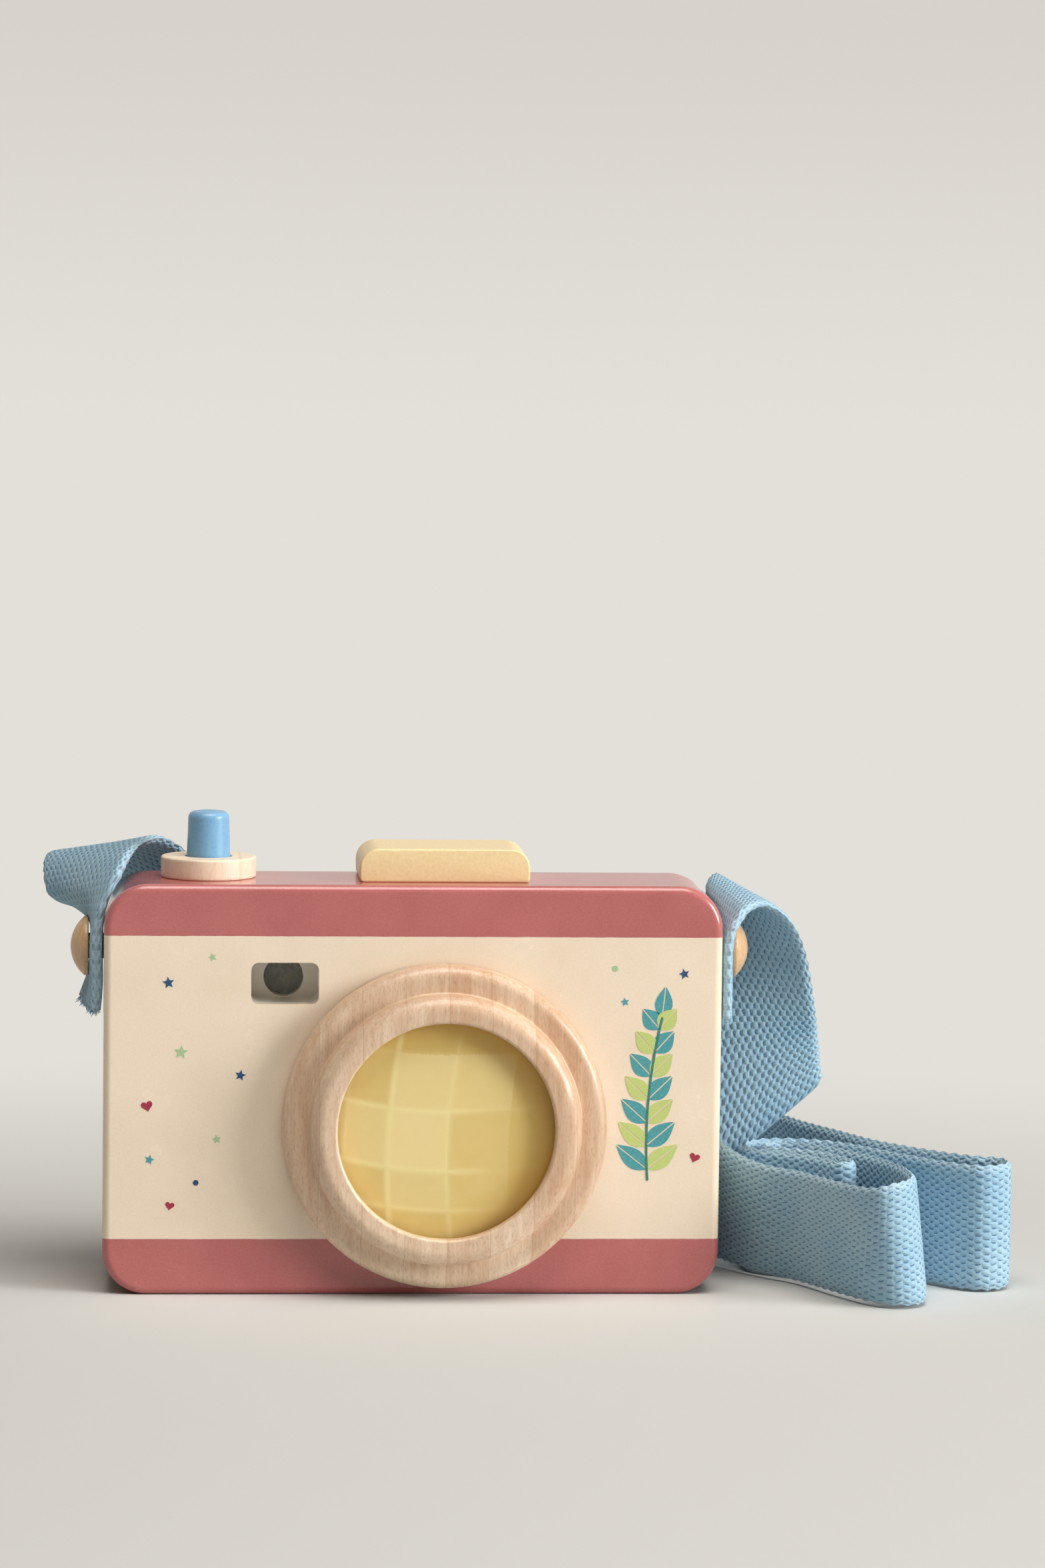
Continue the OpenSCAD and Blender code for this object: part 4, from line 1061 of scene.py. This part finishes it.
def flash_block(material):
    """Block on top: its front outline carried through its depth, drawn in on a quarter circle at both faces.

    The outline has a small arc at its foot and a large one on top. A point moves inwards along the outline's
    own normal, by the edge rounding times 1 - sin a, while the depth moves by the rounding times 1 - cos a.
    """
    half = (block_high[0] - block_low[0]) / 2
    height = block_high[2] - block_low[2]
    right = section(
        (0, 0),
        arc((half - BLOCK_FOOT_R, BLOCK_FOOT_R), BLOCK_FOOT_R, -90, 0, 8),
        arc((half - BLOCK_TOP_R, height - BLOCK_TOP_R), BLOCK_TOP_R, 0, 90, 20),
        (0, height),
    )
    outline = np.concatenate([right, right[-2::-1] * (-1, 1)])
    ahead = np.gradient(outline, axis=0)
    ahead[[0, -1]] = (1, 0)
    inward = np.stack([-ahead[:, 1], ahead[:, 0]], -1) / np.linalg.norm(ahead, axis=1, keepdims=True)
    angle = np.radians(np.linspace(0, 90, 8))
    depth = block_low[1] + BLOCK_EDGE * (1 - np.cos(angle))
    drawn = BLOCK_EDGE * (1 - np.sin(angle))
    through = np.linspace(block_low[1] + BLOCK_EDGE, block_high[1] - BLOCK_EDGE, 40)[1:-1]
    depth = np.concatenate([depth, through, (block_low[1] + block_high[1] - depth)[::-1]])
    drawn = np.concatenate([drawn, 0 * through, drawn[::-1]])
    shape = outline + inward * drawn[:, None, None]
    face = np.concatenate([shape[:1] * 0 + (0, height / 2), shape, shape[:1] * 0 + (0, height / 2)])
    depth = np.concatenate([depth[:1], depth, depth[-1:]])
    y = np.broadcast_to(depth[:, None], face.shape[:2])
    grid = np.stack([block_mid[0] + face[..., 0], y, block_low[2] + face[..., 1]], -1)
    grid[:, -1] = grid[:, 0]
    return surface("flash_block_painted", grid[None], material)


def strap_peg(name, side, material):
    """Turned peg: shank, eased head rim and a dome that is part of a sphere, turned about the peg's axis.

    Heights run outwards from the side of the body. The sphere's radius is (r^2 + h^2) / (2 h).
    """
    dome_r = (HEAD_R**2 + DOME_H**2) / (2 * DOME_H)
    rim = HEAD_GAP + HEAD_RIM
    edge = np.degrees(np.arcsin(HEAD_R / dome_r))
    profile = section(
        (0, -SHANK_L),
        (SHANK_R, -SHANK_L),
        (SHANK_R, HEAD_GAP),
        arc((HEAD_R - HEAD_EASE, HEAD_GAP + HEAD_EASE), HEAD_EASE, -90, 0, 5),
        arc((0, rim + DOME_H - dome_r), dome_r, 90 - edge, 90, 24),
    )
    grid = turned(profile, (side * BODY_W / 2, PEG_Y, PEG_Z), (side, 0, 0), 128)
    return surface(name, grid, material, sharp=50)


blue = paint_on_turning("blue_acrylic_on_beech", "#82B4D8", "#72A6CD", 0.3)
yellow = paint_on_turning("yellow_acrylic_on_beech", "#F5E1B2", "#EED69F", 0.36)
stands_for(push_button(blue), "button", "blue_paint", "shutter_button")
stands_for(button_collar(beech_pale), "camera", "pale_wood", "button_collar")
coil = stands_for(button_spring(drawn_wire()), "camera", "spring_steel", "button_spring")
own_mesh(coil)
stands_for(flash_block(yellow), "camera", "yellow_paint", "flash_block")
for name, side in (("strap_peg_left", -1), ("strap_peg_right", 1)):
    stands_for(strap_peg(name + "_turned", side, beech_pegs), "camera", "turned_beech", name)


# Printed motifs on the front: scattered stars, hearts and dots, and a leafy sprig beside the ring

INK_T = 0.05
RIB_GAP = 0.12
SPRIG_X = 45.5
SPRIG_Z = 22.5
SPRIG_H = 32
SPRIG_BEND = 5.0
LEAF_L = 7.6
LEAF_W = 3.6
STEM_W = 0.5
OUTLINE = 61


def star(at, size, turn):
    """Outline of a five-pointed star: the radius swings between 1 and 0.45 in straight lines."""
    tips = np.arange(11)
    radius = np.where(tips % 2 == 0, 1.0, 0.45)
    angle = np.radians(90 + turn + 36 * tips)
    corners = np.stack([radius * np.cos(angle), radius * np.sin(angle)], -1)
    along = np.linspace(0, 10, OUTLINE)
    return np.array(at) + size / 2 * np.stack([np.interp(along, tips, corners[:, k]) for k in (0, 1)], -1)


def heart(at, size, turn):
    """Outline of a heart: x = 16 sin^3 a, z = 13 cos a - 5 cos 2a - 2 cos 3a - cos 4a, over 34."""
    a = np.linspace(0, 2 * np.pi, OUTLINE)
    x = 16 * np.sin(a) ** 3
    z = 13 * np.cos(a) - 5 * np.cos(2 * a) - 2 * np.cos(3 * a) - np.cos(4 * a)
    c, s = np.cos(np.radians(turn)), np.sin(np.radians(turn))
    return np.array(at) + size / 34 * np.stack([c * x - s * z, s * x + c * z], -1)


def dot(at, size):
    """Outline of a round dot."""
    return arc(at, size / 2, 0, 360, OUTLINE)


def half_leaf(at, length, width, turn, side):
    """Outline of half a leaf on one side of its rib: its width follows sin(pi t^0.8) at t along the rib."""
    t = np.linspace(0, 1, OUTLINE // 2 + 1)
    bow = width / 2 * np.sin(np.pi * t**0.8)
    out = np.stack([t * length, side * (RIB_GAP + bow)], -1)
    back = np.stack([t[::-1] * length, side * RIB_GAP + 0 * t], -1)
    shape = np.concatenate([out, back[1:]])
    c, s = np.cos(np.radians(turn)), np.sin(np.radians(turn))
    return np.array(at) + shape @ np.array([[c, s], [-s, c]])


def stem(points, width):
    """Outlines of a thin stem: short straight pieces from each point to the next, as narrow ovals."""
    points = np.array(points, float)
    start, end = points[:-1], points[1:]
    a = np.linspace(0, 2 * np.pi, OUTLINE)
    along = (end - start) / 2
    across = np.stack([-along[:, 1], along[:, 0]], -1)
    across /= np.linalg.norm(across, axis=1, keepdims=True)
    reach = np.sign(np.cos(a)) * np.abs(np.cos(a)) ** 0.2
    thick = np.sign(np.sin(a)) * np.abs(np.sin(a)) ** 0.5
    spread = 1.03 * reach[:, None] * along[:, None] + width / 2 * thick[:, None] * across[:, None]
    return list((start + end)[:, None] / 2 + spread)


def printed(name, outlines, thick, material):
    """Ink on the panel: each outline is filled from its middle and lies on the panel, as thick as the ink."""
    flat = np.stack(outlines)
    flat[:, -1] = flat[:, 0]
    middle = np.broadcast_to(flat[:, :-1].mean(axis=1, keepdims=True), flat.shape)
    rows = np.stack([middle, flat, flat, middle], 1)
    y = FRONT_Y - np.array([thick, thick, 0, 0])[:, None]
    y = np.broadcast_to(y, rows.shape[:3])
    piece = surface(name, np.stack([rows[..., 0], y, rows[..., 1]], -1), material)
    return stands_for(piece, "camera", "painted_body")


def sprig():
    """Places of the sprig's stem and leaves: the stem bends as a parabola, and leaves leave it in pairs."""
    t = np.linspace(0, 1, 15)
    stem_x = SPRIG_X + SPRIG_BEND * (t - 0.25) ** 2
    stem_z = SPRIG_Z + SPRIG_H * t
    teal, lime = [], []
    for k, at in enumerate(range(1, 14, 2)):
        root = (stem_x[at], stem_z[at])
        length = LEAF_L - 0.42 * k
        for side in (-1, 1):
            leaves = lime if (k + (side > 0)) % 2 else teal
            turn = 90 - side * (52 - 2 * k)
            leaves += [half_leaf(root, length, LEAF_W, turn, s) for s in (-1, 1)]
    top = (stem_x[-1], stem_z[-1])
    teal += [half_leaf(top, 6, 3.2, 84, s) for s in (-1, 1)]
    return stem(np.stack([stem_x, stem_z], -1), STEM_W), teal, lime


sprig_stem, teal_leaves, lime_leaves = sprig()
navy = [star((-47.5, 61), 2.4, 8), star((-33.5, 43), 2.2, -12), star((52.5, 63), 2.2, 15)]
green = [star((-39, 66), 1.7, 20), star((-45, 47.5), 2.8, -6), star((-38, 30.5), 1.9, 12)]
red = [heart((-51.5, 37), 2.4, 14), heart((-47, 17.5), 1.9, -10), heart((55, 27), 2.2, -18)]
teal = [*teal_leaves, star((-51, 26.5), 2.0, -15), star((41, 57.5), 1.8, 10)]
for name, ink, colour, thin_colour, layers, outlines in (
    ("navy", "navy", "#2B4C78", "#54709A", 1, [*navy, dot((-42, 22), 1.1)]),
    ("green", "sage", "#A9C79A", "#CBD8B6", 1, [*green, dot((39, 64), 1.2)]),
    ("red", "red", "#A23347", "#BC6066", 1, red),
    ("teal", "teal", "#4C9AA2", "#7DB7B6", 1, teal),
    ("lime", "lime", "#BFCF7C", "#D6DEA4", 1.4, lime_leaves),
    ("stem", "stem", "#3E7F6E", "#6FA392", 1.8, sprig_stem),
):
    printed(f"print_{name}", outlines, layers * INK_T, screen_ink(f"{ink}_screen_ink", colour, thin_colour))


# Studio

PAPER = "#CED0CE"
BACKDROP = "#E3E0D9"
BACKDROP_TOP = "#D6D1CB"
RISE_FROM = -0.035
RISE_FULL = 0.06
FADE_MIDDLE = (0, -0.12, 0)
FADE_FROM = 0.18
FADE_FULL = 0.45
FLOOR_R = 4000


def paper_floor():
    """Flat paper floor: a round disc, 4 m in radius."""
    profile = line((0, 0), (FLOOR_R, 0), 200)
    paper = surface("paper_floor", turned(profile, (0, 0, 0), (0, 0, 1), 96), studio_paper())


def studio_air():
    """World: a low warm light from all sides, while the eye and mirrors see the backdrop, darker on top."""
    world = bpy.data.worlds.new("studio_air")
    tree = cleared(world)
    light = add(tree, "ShaderNodeBackground", {"Color": srgb("#FFDDB8"), "Strength": 0.055})
    ahead = add(tree, "ShaderNodeTexCoord").outputs["Generated"]
    rise = add(tree, "ShaderNodeSeparateXYZ", {0: ahead}).outputs["Z"]
    high = add(
        tree, "ShaderNodeMapRange", {0: rise, 1: RISE_FROM, 2: RISE_FULL}, interpolation_type="SMOOTHSTEP"
    ).outputs[0]
    tone = add(
        tree, "ShaderNodeMix", {0: high, 6: srgb(BACKDROP), 7: srgb(BACKDROP_TOP)}, data_type="RGBA"
    ).outputs[2]
    even = add(tree, "ShaderNodeBackground", {"Color": tone, "Strength": 1.0})
    shares = {0: seen_directly(tree), 1: light.outputs[0], 2: even.outputs[0]}
    air = add(tree, "ShaderNodeMixShader", shares)
    add(tree, "ShaderNodeOutputWorld", {"Surface": air.outputs[0]})
    scene.world = world


def lamp(name, place, target, size, watts, colour):
    """Soft square lamp, in metres, that looks from its place at its target."""
    light = bpy.data.lights.new(name, "AREA")
    light.size = size
    light.energy = watts
    light.color = srgb(colour)[:3]
    holder = bpy.data.objects.new(name, light)
    away = np.array(place, float) - np.array(target, float)
    away /= np.linalg.norm(away)
    side = np.cross((0, 0, 1), away)
    side /= np.linalg.norm(side)
    matrix = np.eye(4)
    matrix[:3, :3] = np.stack([side, np.cross(away, side), away], -1)
    matrix[:3, 3] = place
    holder.matrix_world = Matrix(matrix.tolist())
    holder.visible_camera = False
    scene.collection.objects.link(holder)


paper_floor()
studio_air()
lamp("window_right", (1.6, -0.74, 0.58), (0, 0, 0.04), 0.8, 33.5, "#FFFEFE")
lamp("ceiling", (0.12, -0.48, 1.65), (0, 0, 0), 1.1, 23.5, "#FFF8F0")
